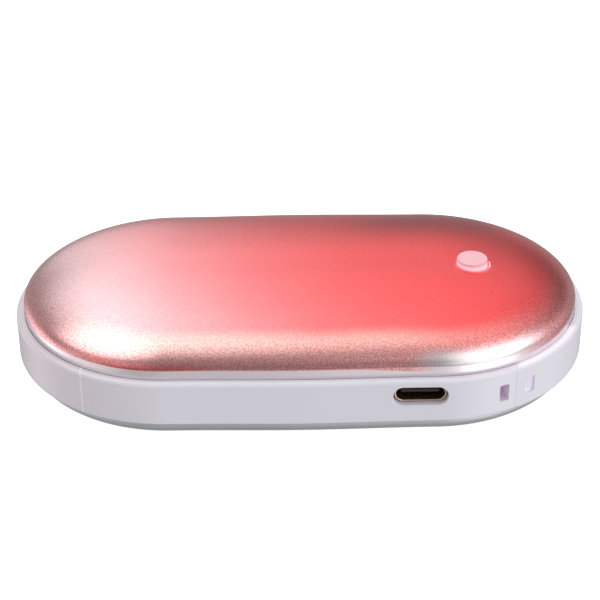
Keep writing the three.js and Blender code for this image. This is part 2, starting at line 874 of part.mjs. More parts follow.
function addSocket() {
  addPiece('usb_c_shell', socketShell(), steel);
  addPiece('usb_c_tongue', socketTongue(), blackPlastic);
  addPiece('usb_c_contacts_upper', contactComb(1), gold);
  addPiece('usb_c_contacts_lower', contactComb(-1), gold);
}

function addBattery() {
  addPiece('cell_front', cell(-cellY), cellWrap);
  addPiece('cell_back', cell(cellY), cellWrap);
  addPiece('strip_negative', leftStrip(), nickel);
  addPiece('strip_positive', rightStrip(), nickel);
  addPiece('cradle_upper', upperCradle(), creamPlastic);
  addPiece('cradle_lower', lowerCradle(), creamPlastic);
  cradleScrews.forEach(([x, y], place) => {
    const length = cradleReach - cradleTopFace + screwBite;
    addPiece(`cradle_screw_${place + 1}`, screw(x, y, cradleReach, length), steel);
  });
}

function addBoard() {
  const chipX = cellRight + chipOffset;
  const chipY = chipSpacing / 2;
  const leadSocketX = cradleRoomRight + cradleEndWall + seatGap + leadSocketLength / 2;
  addPiece('main_board', mainBoard(), boardGreen);
  addPiece('charge_chip',
    block(chipX, -chipY, boardTop, chargeChipSide, chargeChipSide, chipThickness), blackPlastic);
  addPiece('boost_chip',
    block(chipX, chipY, boardTop, boostChipLength, boostChipWidth, chipThickness), blackPlastic);
  addPiece('inductor',
    block(cellRight + inductorOffset, 0, boardTop, inductorSide, inductorSide, inductorHeight), ferrite);
  addPiece('lead_socket',
    block(leadSocketX, leadSocketY, boardTop, leadSocketLength, leadSocketWidth, leadSocketHeight), creamPlastic);
  for (const side of [-1, 1]) {
    const word = side < 0 ? 'front' : 'back';
    addPiece(`capacitor_${word}`, block(cellRight + capacitorOffset, side * (capacitorSpacing / 2),
      boardTop, capacitorLength, capacitorWidth, capacitorHeight), ceramic);
    addPiece(`led_${word}`, block(buttonX + ledOffset, buttonY + side * (ledSpacing / 2), boardTop,
      ledLength, ledWidth, ledHeight), ledWhite);
  }
  boardScrews.forEach(([x, y], place) => {
    const length = boardThickness + seatGap + flangeThickness;
    addPiece(`board_screw_${place + 1}`, screw(x, y, boardTop, length), steel);
  });
}

// A flexible sheet under one shell, cut off square at its right end.
function trimmedSheet(profile, side, end) {
  const placed = side > 0 ? profile : upsideDown(profile);
  const sheet = toSolid(sweepRound(placed, false, coarseArcSteps, coarseSideSteps));
  const keep = box(-halfLength, end, -halfWidth, halfWidth, -midHeight, midHeight);
  return sheet.intersect(toSolid(keep));
}

function thermistor(side, dome) {
  const x = heaterEnd - thermistorOffset;
  const surface = bandTop + domeRise(planInset(x, thermistorY), dome);
  const top = surface - heaterUnder - seatGap;
  const ends = [side * top, side * (top - thermistorHeight)];
  return box(x - thermistorLength / 2, x + thermistorLength / 2,
    thermistorY - thermistorWidth / 2, thermistorY + thermistorWidth / 2,
    Math.min(...ends), Math.max(...ends));
}

// A heater, its insulating sheet, its thermistor and its leads, above the band or below it.
function addHeater(word, side, dome) {
  const film = domeSheet(heaterInset, heaterDepth, heaterUnder, dome);
  const felt = domeSheet(insulatorInset, insulatorDepth, insulatorUnder, dome);
  addPiece(`heater_${word}`, trimmedSheet(film, side, heaterEnd), heaterFilm);
  addPiece(`insulator_${word}`, trimmedSheet(felt, side, cellRight - insulatorOffset), foam);
  addPiece(`thermistor_${word}`, thermistor(side, dome), blackPlastic);
  const spread = heaterLeadSpacing / 2;
  addPiece(`heater_lead_${word}_1`, heaterLead(side, leadSocketY - spread, dome), redLead);
  addPiece(`heater_lead_${word}_2`, heaterLead(side, leadSocketY + spread, dome), blackLead);
}

function addBatteryLeads() {
  addPiece('battery_lead_negative', negativeLead(), blackLead);
  addPiece('battery_lead_positive', positiveLead(), redLead);
}

addBody();
addButton();
addSocket();
addBattery();
addBoard();
addHeater('top', 1, topDome);
addHeater('bottom', -1, bottomDome);
addBatteryLeads();

export default handWarmer;
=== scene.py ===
"""The looks of a rechargeable hand warmer, dressed onto its frame: an add-on that is run as a script."""

import math
from collections import namedtuple

import bmesh
import bpy
import numpy as np
from bpy.props import FloatProperty, FloatVectorProperty, PointerProperty
from mathutils import Matrix, Vector


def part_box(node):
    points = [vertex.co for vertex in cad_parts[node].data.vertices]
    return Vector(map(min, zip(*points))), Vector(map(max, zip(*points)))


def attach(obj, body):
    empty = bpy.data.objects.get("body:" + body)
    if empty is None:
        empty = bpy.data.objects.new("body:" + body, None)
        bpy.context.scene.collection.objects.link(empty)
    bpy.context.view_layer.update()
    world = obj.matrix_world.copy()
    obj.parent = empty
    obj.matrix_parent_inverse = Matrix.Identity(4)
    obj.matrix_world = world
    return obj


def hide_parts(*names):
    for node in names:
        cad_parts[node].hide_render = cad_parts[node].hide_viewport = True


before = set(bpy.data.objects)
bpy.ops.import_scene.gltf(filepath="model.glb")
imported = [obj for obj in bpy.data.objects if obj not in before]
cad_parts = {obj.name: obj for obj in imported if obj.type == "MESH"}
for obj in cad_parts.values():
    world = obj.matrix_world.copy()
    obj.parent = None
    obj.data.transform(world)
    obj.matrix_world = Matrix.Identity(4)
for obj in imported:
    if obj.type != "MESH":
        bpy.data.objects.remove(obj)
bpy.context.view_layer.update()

bl_info = {
    "name": "Rechargeable Hand Warmer",
    "version": (1, 0, 0),
    "blender": (4, 5, 0),
    "location": "3D View > Sidebar > Hand Warmer",
    "description": "Builds the fine surfaces, the finishes and the stage of a pocket hand warmer",
    "category": "Mesh",
}

MM = 0.001

# Places and sizes that the frame gives

BAND_LOW, BAND_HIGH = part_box("mid_band")
BOTTOM_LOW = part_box("bottom_shell")[0]
BUTTON_LOW, BUTTON_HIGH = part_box("button_cap")
SOCKET_LOW, SOCKET_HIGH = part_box("usb_c_shell")
TONGUE_LOW, TONGUE_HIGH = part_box("usb_c_tongue")
MID_HEIGHT = (BAND_LOW.z + BAND_HIGH.z) / 2

# How finely the surfaces are cut

SIDE_STEPS = 72
END_STEPS = 126
DOME_STEPS = 90
INNER_STEPS = 30
EDGE_STEPS = 10
WALL_STEPS = 12
LINE_STEPS = 13
ROUND_STEPS = 72
SLOT_STEPS = 24
BUTTON_FACE_SHARES = (0, 0.3, 0.6, 0.85)
SHARP_ANGLE = math.radians(32)
WELD = 0.0005 * MM


# Sizes and colours that a user would change

def length(name, description, default):
    return FloatProperty(name=name, description=description, default=default, min=0, precision=5,
                         subtype="DISTANCE", unit="LENGTH")


def angle(name, description, degrees):
    return FloatProperty(name=name, description=description, default=math.radians(degrees),
                         subtype="ANGLE", unit="ROTATION")


def colour(name, description, default):
    return FloatVectorProperty(name=name, description=description, default=default, size=4, min=0, max=1,
                               subtype="COLOR")


def shade(red, green, blue):
    """A colour from display values of 0 to 255, as the linear values that shaders take."""
    def linear(value):
        part = value / 255
        return part / 12.92 if part <= 0.04045 else ((part + 0.055) / 1.055) ** 2.4
    return (linear(red), linear(green), linear(blue), 1.0)


Dome = namedtuple("Dome", "rounding foot")


class BodySizes(bpy.types.PropertyGroup):
    """Sizes of the band and the two shells."""

    half_length: length("Half length", "Middle to the end of the band", BAND_HIGH.x)
    half_width: length("Half width", "Middle to the side of the band", BAND_HIGH.y)
    side_bow: length("Side bow", "How far each long side swells", 0.4 * MM)
    band_half_height: length("Band half height", "Half of the band's height", BAND_HIGH.z - MID_HEIGHT)
    ledge_width: length("Ledge width", "Band's top face beside the shell", 1.4 * MM)
    band_edge: length("Band edge radius", "Rounding of the band's outer edges", 0.9 * MM)
    rib_depth: length("Rib depth", "How far the rib reaches in", 3.2 * MM)
    rib_half_height: length("Rib half height", "Half of the rib's height", 3.1 * MM)
    wall: length("Shell wall", "Thickness of the metal", 0.8 * MM)
    clearance: length("Shell clearance", "Gap between shell and ledge", 0.15 * MM)
    top_foot: length("Top foot", "Upright foot of the top shell above the ledge", 1.8 * MM)
    bottom_foot: length("Bottom foot", "Upright foot of the bottom shell below the ledge", 0.8 * MM)
    seam: length("Seam", "Width of the line between a shell and the band", 0.06 * MM)
    skirt_gap: length("Skirt gap", "Gap between skirt and rib", 0.1 * MM)
    top_rounding: length("Top rounding", "Plan width of the top dome's curve", 24 * MM)
    bottom_rounding: length("Bottom rounding", "Plan width of the bottom dome's curve", 21 * MM)
    crown_rise: length("Crown rise", "Dome height above the band", BAND_LOW.z - BOTTOM_LOW.z)
    crown_power: FloatProperty(name="Crown power", description="Fullness of the dome's curve", default=1.8)

    @property
    def end_radius(self):
        return self.half_width - self.side_bow

    @property
    def end_centre(self):
        return self.half_length - self.end_radius

    @property
    def shell_inset(self):
        return self.ledge_width + self.clearance

    @property
    def skirt_end(self):
        return self.rib_half_height + self.skirt_gap

    @property
    def top_dome(self):
        return Dome(self.top_rounding, self.top_foot)

    @property
    def bottom_dome(self):
        return Dome(self.bottom_rounding, self.bottom_foot)

    def reach(self, x):
        """From the line between the end centres to the outline: the end radius, and on the sides the bow
        times the squared cosine of the place along the side."""
        return self.end_radius + self.side_bow * np.cos(np.pi * x / (2 * self.end_centre)) ** 2


class EyeletSizes(bpy.types.PropertyGroup):
    """Sizes of the lanyard eyelet, the mould lines and the charging opening in the band."""

    first_angle: angle("First slot", "Angle of the slot nearer the front", 23.6)
    second_angle: angle("Second slot", "Angle of the slot nearer the end", 34.5)
    first_width: length("First slot width", "Width of the slot nearer the front", 1.7 * MM)
    second_width: length("Second slot width", "Width of the slot nearer the end", 2 * MM)
    height: length("Slot height", "Height of both slots", 3.2 * MM)
    corner: length("Slot corner", "Corner radius of both slots", 0.3 * MM)
    lip: length("Slot lip", "Broken edge round both slots", 0.12 * MM)
    bar_depth: length("Bar depth", "Thickness of the bar between the slots", 1.4 * MM)
    tunnel_depth: length("Tunnel depth", "Room behind the bar", 2 * MM)
    boss_margin: length("Boss margin", "How far the thick place reaches past the slots", 1.6 * MM)
    boss_wall: length("Boss wall", "Wall behind the tunnel", 1.1 * MM)
    boss_half_height: length("Boss half height", "Half of the thick place's height", 2.8 * MM)
    boss_corner: length("Boss corner", "Half of the run in which the rib grows thick", 0.05 * MM)
    left_line: angle("Left mould line", "Angle of the left mould line", -31.3)
    right_line: angle("Right mould line", "Angle of the right mould line", 28.3)
    line_width: length("Mould line width", "Width of the mould lines", 0.12 * MM)
    line_depth: length("Mould line depth", "Depth of the mould lines", 0.05 * MM)
    opening_width: length("Opening width", "Width of the charging opening", 9.4 * MM)
    opening_height: length("Opening height", "Height of the charging opening", 3.5 * MM)
    opening_lip: length("Opening lip", "Broken edge round the charging opening", 0.15 * MM)


class ButtonSizes(bpy.types.PropertyGroup):
    """Sizes of the push button."""

    radius: length("Radius", "Radius of the button's face", 2.75 * MM)
    edge: length("Edge radius", "Rounding of the face's edge", 0.3 * MM)
    hole_gap: length("Hole gap", "Gap between the button and the shell", 0.22 * MM)
    hole_edge: length("Hole edge", "Rounding of the hole's edge", 0.12 * MM)
    flange_drop: length("Flange drop", "Flange's top below the face", 2.65 * MM)
    flange_thickness: length("Flange thickness", "Thickness of the flange", 0.8 * MM)
    stem_radius: length("Stem radius", "Radius of the stem", 1.3 * MM)


class SocketSizes(bpy.types.PropertyGroup):
    """Sizes of the charging socket."""

    wall: length("Wall", "Sheet thickness of the metal shell", 0.3 * MM)
    block_length: length("Block length", "Plastic block at the back", 1.6 * MM)
    tongue_width: length("Tongue width", "Width of the tongue", 6.69 * MM)
    tongue_thickness: length("Tongue thickness", "Thickness of the tongue", 0.7 * MM)
    nose: length("Nose radius", "Rounding of the tongue's front edge", 0.2 * MM)


class FinishColours(bpy.types.PropertyGroup):
    """Colours of the finishes."""

    # Pale pink and coral are the ends of the dye's mix; the pale at the left end is partly a painted
    # reflection of a bright light.
    pale: colour("Pale pink", "Anodised metal at its palest, at the left end", shade(252, 210, 214))
    coral: colour("Coral", "Anodised metal at its fullest, at the right end", shade(252, 94, 96))
    # Painted highlight: peach where the dome turns over at the front.
    peach: colour("Peach", "Anodised metal where the dome turns over at the front", shade(252, 230, 213))
    # Low on the dome: partly thinner dye, partly a painted reflection.
    rim_dye_and_reflection: colour("Rim", "Anodised metal low on the dome", shade(252, 180, 181))
    # Painted shade: browner low on the dome, left of the middle.
    brick_shade: colour("Brick", "Anodised metal low on the dome, left of the middle", shade(252, 128, 124))
    # Light grey of the upright foot and the front-right patch: on the foot a painted reflection of the band's
    # white ledge, on the patch a painted highlight.
    foot: colour("Foot", "Upright foot of the shell", shade(232, 222, 226))
    # Painted shade at the back right of the dome.
    back_right_shade: colour("Dusk", "Multiplies the metal's colour at the back right", (0.6, 0.72, 0.75, 1))
    speck: colour("Speck", "Multiplies the metal's colour in the specks", (0.1, 0.07, 0.07, 1))
    glow: colour("Glow", "Light that the button throws on the metal round it", shade(255, 170, 185))
    gap_light: colour("Gap light", "Light in the gap round the button", shade(200, 84, 90))
    band: colour("Band", "White plastic of the band", shade(222, 220, 230))
    band_warm: colour("Warm band", "The band's plastic at its left end", shade(214, 202, 209))
    slot: colour("Slot", "Light inside the eyelet's first slot", shade(80, 48, 68))
    second_slot: colour("Second slot", "Light inside the second slot, and the right mould line",
                        shade(172, 162, 172))
    under: colour("Under shell", "Metal of the bottom shell", shade(192, 195, 198))
    button: colour("Button", "Clear pink plastic of the button", shade(232, 176, 184))
    button_light: colour("Button light", "Light in the button's side", shade(255, 226, 240))
    face_light: colour("Face light", "Light in the button's face", shade(84, 62, 67))


class StageSettings(bpy.types.PropertyGroup):
    """The camera, the floor and the studio."""

    elevation: angle("Elevation", "Camera's height angle", 30.713)
    turn: angle("Turn", "Camera's angle round the body", -0.859)
    roll: angle("Roll", "Camera's tilt", -0.349)
    distance: length("Distance", "Camera to its target", 317.79 * MM)
    target_x: FloatProperty(name="Target X", description="Place that the camera looks at", default=0.108 * MM,
                            precision=5, subtype="DISTANCE", unit="LENGTH")
    target_y: FloatProperty(name="Target Y", description="Place that the camera looks at", default=6.244 * MM,
                            precision=5, subtype="DISTANCE", unit="LENGTH")
    lens: FloatProperty(name="Lens", description="Focal length in millimetres", default=101.94)
    floor_size: length("Floor size", "Side of the floor", 4.0)
    floor_glow: FloatProperty(name="Floor glow", description="Light that the floor gives off", default=0.75)
    studio_tone: FloatProperty(name="Studio tone", description="The studio's brightness all round",
                               default=0.425)


# Surfaces

Path = namedtuple("Path", "foot_x foot_y out_x out_y reach")


def body_path(body, left_angles=(), right_angles=()):
    """Stations round the body's plan, anticlockwise from the front's left end.

    A station is a foot on the line between the end centres, a direction outwards, and the reach to the
    outline. The extra angles are stations at the front of each end, counted from the front.
    """
    centre = body.end_centre
    along = np.linspace(-centre, centre, SIDE_STEPS, endpoint=False)
    even = np.linspace(0, np.pi, END_STEPS, endpoint=False)
    right = np.unique(np.concatenate([even, np.array(right_angles)])) - np.pi / 2
    left = np.unique(np.concatenate([even, np.pi - np.abs(np.array(left_angles))])) + np.pi / 2
    foot_x = np.concatenate([along, np.full(right.shape, centre), -along, np.full(left.shape, -centre)])
    out_x = np.concatenate([0 * along, np.cos(right), 0 * along, np.cos(left)])
    out_y = np.concatenate([0 * along - 1, np.sin(right), 0 * along + 1, np.sin(left)])
    return Path(foot_x, 0 * foot_x, out_x, out_y, body.reach(foot_x))


def oval_path(width, height, corner=None, steps=ROUND_STEPS):
    """Stations round an oblong whose corners are quarter circles: four corner centres, each with a fan of
    directions. A corner radius of half the height gives an oval with round ends."""
    radius = height / 2 if corner is None else corner
    angle = np.linspace(0, np.pi / 2, steps // 4 + 1)
    quarters = np.arange(4)[:, None] * np.pi / 2
    turn = (quarters + angle[None, :]).ravel()
    side_x = np.repeat([1, -1, -1, 1], angle.size)
    side_y = np.repeat([1, 1, -1, -1], angle.size)
    foot_x = side_x * (width / 2 - radius)
    foot_y = side_y * (height / 2 - radius)
    return Path(foot_x, foot_y, np.cos(turn), np.sin(turn), np.full(turn.shape, radius))


def carry(path, inset, height, spread=1.0):
    """Carries a profile round a path: place = foot × spread + direction × (reach - inset), at the height.
    An inset of infinity is the foot itself, where all stations meet."""
    inset = np.broadcast_to(inset, (path.reach.size, np.shape(inset)[-1]))
    distance = np.where(np.isinf(inset), 0, path.reach[:, None] - np.where(np.isinf(inset), 0, inset))
    x = path.foot_x[:, None] * spread + path.out_x[:, None] * distance
    y = path.foot_y[:, None] + path.out_y[:, None] * distance
    z = np.broadcast_to(height, x.shape)
    return np.stack([x, y, z], axis=-1)


def turned(radius, height):
    """A profile of radii and heights carried round an upright axis. The stations lie on a circle of no
    radius, so a profile's inset is minus its radius."""
    turn = np.linspace(0, 2 * np.pi, ROUND_STEPS, endpoint=False)
    axis = Path(0 * turn, 0 * turn, np.cos(turn), np.sin(turn), 0 * turn)
    return carry(axis, -radius, height)


def rounded_edge(radius):
    """A quarter circle from a flat face round to its side: insets from the side, drops below the face."""
    turn = np.linspace(0, np.pi / 2, EDGE_STEPS)
    return radius * (1 - np.sin(turn)), radius * (1 - np.cos(turn))


def facing_front(points, centre):
    """Lays a surface over so that its height runs to the front, and puts it at its place."""
    return np.stack([points[..., 0], -points[..., 2], points[..., 1]], axis=-1) + np.asarray(centre)


def front_middle(low, high):
    """The middle of a box's front face."""
    return ((low.x + high.x) / 2, low.y, (low.z + high.z) / 2)


def grid_faces(stations, columns, closed):
    """Four-sided faces of a grid that closes round its stations, and where closed across its columns."""
    row = np.arange(stations)[:, None]
    column = np.arange(columns if closed else columns - 1)[None, :]
    next_row = (row + 1) % stations
    next_column = (column + 1) % columns
    corners = [row * columns + column, row * columns + next_column,
               next_row * columns + next_column, next_row * columns + column]
    return np.stack(corners, axis=-1).reshape(-1, 4)


def make_mesh(points, closed=False, capped=False):
    """A mesh of a grid of places. A capped one gets a flat face across its first and its last column."""
    stations, columns = points.shape[:2]
    faces = grid_faces(stations, columns, closed).tolist()
    if capped:
        row = np.arange(stations) * columns
        faces.append(row.tolist())
        faces.append((row + columns - 1)[::-1].tolist())
    mesh = bpy.data.meshes.new("surface")
    mesh.from_pydata(points.reshape(-1, 3).tolist(), [], faces)
    work = bmesh.new()
    work.from_mesh(mesh)
    bmesh.ops.remove_doubles(work, verts=work.verts, dist=WELD)
    work.to_mesh(mesh)
    work.free()
    smooth(mesh)
    return mesh


def smooth(mesh):
    mesh.shade_smooth()
    mesh.set_sharp_from_angle(angle=SHARP_ANGLE)


def show(name, mesh, material):
    """Puts a mesh into the scene as an object at the origin, with its finish."""
    mesh.name = name
    piece = bpy.data.objects.new(name, mesh)
    bpy.context.scene.collection.objects.link(piece)
    mesh.materials.clear()
    mesh.materials.append(material)
    return piece


def dress(node, mesh, material, body="warmer"):
    """Shows the fine piece that stands for a node, and rides on a body of the frame."""
    if not mesh.polygons:
        raise RuntimeError(f"{node} has no faces")
    piece = show(f"{node}_fine", mesh, material)
    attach(piece, body)
    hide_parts(node)


def cut_out(mesh, cutters):
    """Takes each cutter's room out of a mesh and gives back the result."""
    body = bpy.data.objects.new("blank", mesh)
    bpy.context.scene.collection.objects.link(body)
    tools = []
    for cutter in cutters:
        tool = bpy.data.objects.new("cutter", cutter)
        bpy.context.scene.collection.objects.link(tool)
        tools.append(tool)
        cut = body.modifiers.new("cut", "BOOLEAN")
        cut.operation = "DIFFERENCE"
        cut.solver = "EXACT"
        cut.object = tool
    result = bpy.data.meshes.new_from_object(body.evaluated_get(bpy.context.evaluated_depsgraph_get()))
    for helper in [body, *tools]:
        bpy.data.objects.remove(helper)
    smooth(result)
    return result


# The dome

def plan_inset(body, x, y):
    """How far a place lies inside the outline: the reach there less its distance from the line between
    the end centres."""
    beyond = np.maximum(np.abs(x) - body.end_centre, 0)
    within = np.minimum(np.abs(x), body.end_centre)
    return body.reach(within) - np.hypot(beyond, y)


def dome_height(body, inset, dome):
    """Height of a dome's outside over the middle of the band. The share falls from 1 at the foot to 0
    where the crown is reached, and the rise is (1 - share^power)^(1/power) of the dome's own."""
    share = 1 - np.clip((inset - body.shell_inset) / dome.rounding, 0, 1)
    curve = (1 - share ** body.crown_power) ** (1 / body.crown_power)
    rise = body.crown_rise - dome.foot
    return body.band_half_height + dome.foot + rise * curve


def dome_section(body, dome, depth, steps):
    """Insets and heights of a dome from its foot to its crown, moved in by a depth square to the surface.
    Over a quarter turn, the inset follows 1 - cos^(2/power) and the height sin^(2/power)."""
    angle = np.linspace(0, np.pi / 2, steps)
    power = 2 / body.crown_power
    rise = body.crown_rise - dome.foot
    inset = body.shell_inset + dome.rounding * (1 - np.clip(np.cos(angle), 0, 1) ** power)
    height = body.band_half_height + dome.foot + rise * np.sin(angle) ** power
    slope_x = np.gradient(inset)
    slope_z = np.gradient(height)
    slope_x[0] = 0
    slope_z[-1] = 0
    size = np.hypot(slope_x, slope_z)
    return inset + slope_z / size * depth, height - slope_x / size * depth


def top_shell_points(body, button, centre):
    """The top shell's surface, a grid that runs out from the button's hole like a star.

    The first parameter is the station on the outline, the second runs over the section: up the hole's
    wall, round its edge, over the dome, down the upright foot and the skirt, and back inside. Between the
    hole and the foot a place is hole + (foot - hole) × (1 - (1 - s)²), and its height is the dome's.
    """
    path = body_path(body)
    dome = body.top_dome
    hole = button.radius + button.hole_gap
    edge = button.hole_edge
    outer = carry(path, [body.shell_inset], [0])[:, 0, :2]
    inner = carry(path, [body.shell_inset + body.wall], [0])[:, 0, :2]
    inner_inset, inner_height = dome_section(body, dome, body.wall, DOME_STEPS)

    def ring(target, radius):
        offset = target - centre
        return centre + offset / np.linalg.norm(offset, axis=1, keepdims=True) * radius

    def fan(near, far, steps):
        share = 1 - (1 - np.linspace(0, 1, steps)) ** 2
        return near[:, None, :] + (far - near)[:, None, :] * share[None, :, None]

    def outside_height(place):
        return dome_height(body, plan_inset(body, place[..., 0], place[..., 1]), dome)

    def inside_height(place):
        return np.interp(plan_inset(body, place[..., 0], place[..., 1]), inner_inset, inner_height)

    lip_inset, lip_drop = [values[:0:-1] for values in rounded_edge(edge)]
    lip_place = np.stack([ring(outer, hole + inset) for inset in lip_inset], axis=1)
    lip_height = outside_height(ring(outer, hole + edge))[:, None] - lip_drop
    over = fan(ring(outer, hole + edge), outer, DOME_STEPS)
    under = fan(ring(inner, hole), inner, INNER_STEPS)[:, ::-1]
    foot_heights = np.array([body.band_half_height, body.skirt_end])
    outer_foot = np.repeat(outer[:, None, :], foot_heights.size, axis=1)
    inner_foot = np.repeat(inner[:, None, :], foot_heights.size, axis=1)
    places = np.concatenate([lip_place, over, outer_foot, inner_foot, under], axis=1)
    shape = (path.reach.size, foot_heights.size)
    heights = np.concatenate([
        lip_height,
        outside_height(over),
        np.broadcast_to(foot_heights, shape),
        np.broadcast_to(foot_heights[::-1], shape),
        inside_height(under),
    ], axis=1)
    return np.concatenate([places, (heights + MID_HEIGHT)[..., None]], axis=-1)


def bottom_shell_points(body):
    """The bottom shell's surface: its section carried round the plan, from the middle of the flat under
    face out over the dome, up the skirt and back inside. It is the top shell's section upside down."""
    path = body_path(body)
    outside = dome_section(body, body.bottom_dome, 0, DOME_STEPS)
    inside = dome_section(body, body.bottom_dome, body.wall, INNER_STEPS)
    middle = [math.inf]
    foot = [body.shell_inset + body.wall, body.shell_inset]
    foot_heights = [body.skirt_end, body.skirt_end]
    inset = np.concatenate([middle, inside[0][::-1], foot, outside[0], middle])
    height = np.concatenate([inside[1][-1:], inside[1][::-1], foot_heights, outside[1], outside[1][-1:]])
    return carry(path, inset, MID_HEIGHT - height)


# The band

def near(angle, spread, steps):
    """Angles close round one angle."""
    return angle + np.linspace(-spread, spread, steps)


def band_points(body, eyelet):
    """The band's surface: its section carried round the plan.

    The section runs over the ledge and the rounded edge, down the wall, and back up over the rib. Each
    mould line moves the wall in by its depth times exp(-(distance / width)²). Behind the eyelet the rib
    is deeper.
    """
    radius = body.end_radius
    line_spread = 3 * eyelet.line_width / radius
    boss_spread = (eyelet.boss_margin + eyelet.second_width / 2) / radius
    boss_start = eyelet.first_angle - boss_spread
    boss_end = eyelet.second_angle + boss_spread
    corner = eyelet.boss_corner / radius
    right_angles = np.concatenate([near(eyelet.right_line, line_spread, LINE_STEPS),
                                   near(boss_start, corner, 2), near(boss_end, corner, 2)])
    left_angles = near(eyelet.left_line, line_spread, LINE_STEPS)
    path = body_path(body, left_angles, right_angles)

    top = body.band_half_height
    edge_inset, edge_drop = rounded_edge(body.band_edge)
    edge_height = top - edge_drop
    wall_height = np.linspace(edge_height[-1], -edge_height[-1], WALL_STEPS)[1:-1]
    seat = body.rib_half_height
    ledge = body.shell_inset - body.seam
    upper_inset = np.concatenate([[body.rib_depth, body.rib_depth, ledge, ledge], edge_inset])
    upper_height = np.concatenate([[eyelet.boss_half_height, seat, seat, top], edge_height])
    inset = np.concatenate([upper_inset, 0 * wall_height, upper_inset[::-1]])
    height = np.concatenate([upper_height, wall_height, -upper_height[::-1]])

    from_front = np.arctan2(path.out_x, -path.out_y)
    groove = np.zeros(path.reach.size)
    for angle in (eyelet.left_line, eyelet.right_line):
        groove = groove + np.exp(-((from_front - angle) * radius / eyelet.line_width) ** 2)
    on_wall = (inset < body.band_edge)[None, :]
    moved = inset[None, :] + on_wall * eyelet.line_depth * groove[:, None]

    boss_depth = eyelet.bar_depth + eyelet.tunnel_depth + eyelet.boss_wall
    in_boss = (from_front > boss_start) & (from_front < boss_end)
    rib = np.where(in_boss, boss_depth, body.rib_depth)[:, None]
    rib_inset = np.concatenate([rib, moved, rib], axis=1)
    rib_height = np.concatenate([[eyelet.boss_half_height], height, [-eyelet.boss_half_height]])
    return carry(path, rib_inset, MID_HEIGHT + rib_height)


def flared_hole(path, lip, depth, reach):
    """A cutter for a hole with a broken edge: its section grows by the lip at the wall, and on outside."""
    inset = [-lip - reach, -lip, 0, 0]
    height = [reach, 0, -lip, -depth]
    return carry(path, inset, height)


def slot_cutter(body, eyelet, angle, width):
    """The room of one eyelet slot, along the direction out of the end's centre."""
    depth = eyelet.bar_depth + eyelet.tunnel_depth
    path = oval_path(width, eyelet.height, eyelet.corner, SLOT_STEPS)
    local = flared_hole(path, eyelet.lip, depth, eyelet.boss_wall)
    out = np.array([math.sin(angle), -math.cos(angle)])
    across = np.array([math.cos(angle), math.sin(angle)])
    distance = body.end_radius + local[..., 2]
    x = body.end_centre + out[0] * distance + across[0] * local[..., 0]
    y = out[1] * distance + across[1] * local[..., 0]
    return make_mesh(np.stack([x, y, MID_HEIGHT + local[..., 1]], axis=-1), capped=True)


def tunnel_cutter(body, eyelet):
    """The room behind the eyelet's bar: a ring sector between the two slots."""
    angle = np.linspace(eyelet.first_angle, eyelet.second_angle, EDGE_STEPS)
    outer = body.end_radius - eyelet.bar_depth
    inner = outer - eyelet.tunnel_depth
    half = eyelet.height / 2
    radius = np.array([inner, outer, outer, inner])
    height = np.array([-half, -half, half, half])
    x = body.end_centre + radius[:, None] * np.sin(angle)
    y = -radius[:, None] * np.cos(angle)
    z = MID_HEIGHT + np.broadcast_to(height[:, None], x.shape)
    return make_mesh(np.stack([x, y, z], axis=-1), capped=True)


def opening_cutter(body, eyelet):
    """The room of the charging opening, from the rib's inside to the band's face."""
    centre = (SOCKET_LOW + SOCKET_HIGH) / 2
    path = oval_path(eyelet.opening_width, eyelet.opening_height)
    local = flared_hole(path, eyelet.opening_lip, 2 * body.rib_depth, body.wall)
    return make_mesh(facing_front(local, (centre.x, -body.reach(centre.x), centre.z)), capped=True)


# The button

def button_points(button):
    """The button's surface, turned: its face with a rounded edge, its side, the flange and the stem."""
    centre = (BUTTON_LOW + BUTTON_HIGH) / 2
    top = BUTTON_HIGH.z
    flange_radius = BUTTON_HIGH.x - centre.x
    edge_inset, edge_drop = rounded_edge(button.edge)
    flange_top = top - button.flange_drop
    flange_bottom = flange_top - button.flange_thickness
    face_radius = np.array(BUTTON_FACE_SHARES) * (button.radius - button.edge)
    radius = np.concatenate([face_radius, button.radius - edge_inset,
                             [button.radius, flange_radius, flange_radius,
                              button.stem_radius, button.stem_radius, 0]])
    height = np.concatenate([0 * face_radius + top, top - edge_drop,
                             [flange_top, flange_top, flange_bottom,
                              flange_bottom, BUTTON_LOW.z, BUTTON_LOW.z]])
    return turned(radius, height) + np.array([centre.x, centre.y, 0])


# The charging socket

def socket_shell_points(socket):
    """The socket's metal shell: a section of outside, rounded front edge and inside, carried round an
    oval with round ends."""
    size = SOCKET_HIGH - SOCKET_LOW
    lip = socket.wall / 2
    turn = np.linspace(np.pi, 0, EDGE_STEPS)
    inset = np.concatenate([[socket.wall], lip - lip * np.cos(turn), [0]])
    height = np.concatenate([[-size.y], -lip + lip * np.sin(turn), [-size.y]])
    centre = front_middle(SOCKET_LOW, SOCKET_HIGH)
    return facing_front(carry(oval_path(size.x, size.z), inset, height), centre)


def tongue_points(socket):
    """The plastic inside the socket: a thin tongue with a rounded nose that grows into a block."""
    block = TONGUE_HIGH - TONGUE_LOW
    half = socket.tongue_thickness / 2
    grow = block.z / 2 - half
    path = oval_path(block.x - 2 * grow, socket.tongue_thickness)
    narrow = (socket.tongue_width / 2 - half) / (block.x / 2 - block.z / 2)
    nose_inset, nose_drop = rounded_edge(socket.nose)
    front = -(block.y - socket.block_length)
    inset = np.concatenate([[math.inf], nose_inset, [0, -grow, -grow, math.inf]])
    height = np.concatenate([[0], -nose_drop, [front, front, -block.y, -block.y]])
    spread = np.concatenate([np.full(nose_inset.size + 2, narrow), [1, 1, 1]])
    return facing_front(carry(path, inset, height, spread), front_middle(TONGUE_LOW, TONGUE_HIGH))


# Shader nodes as expressions

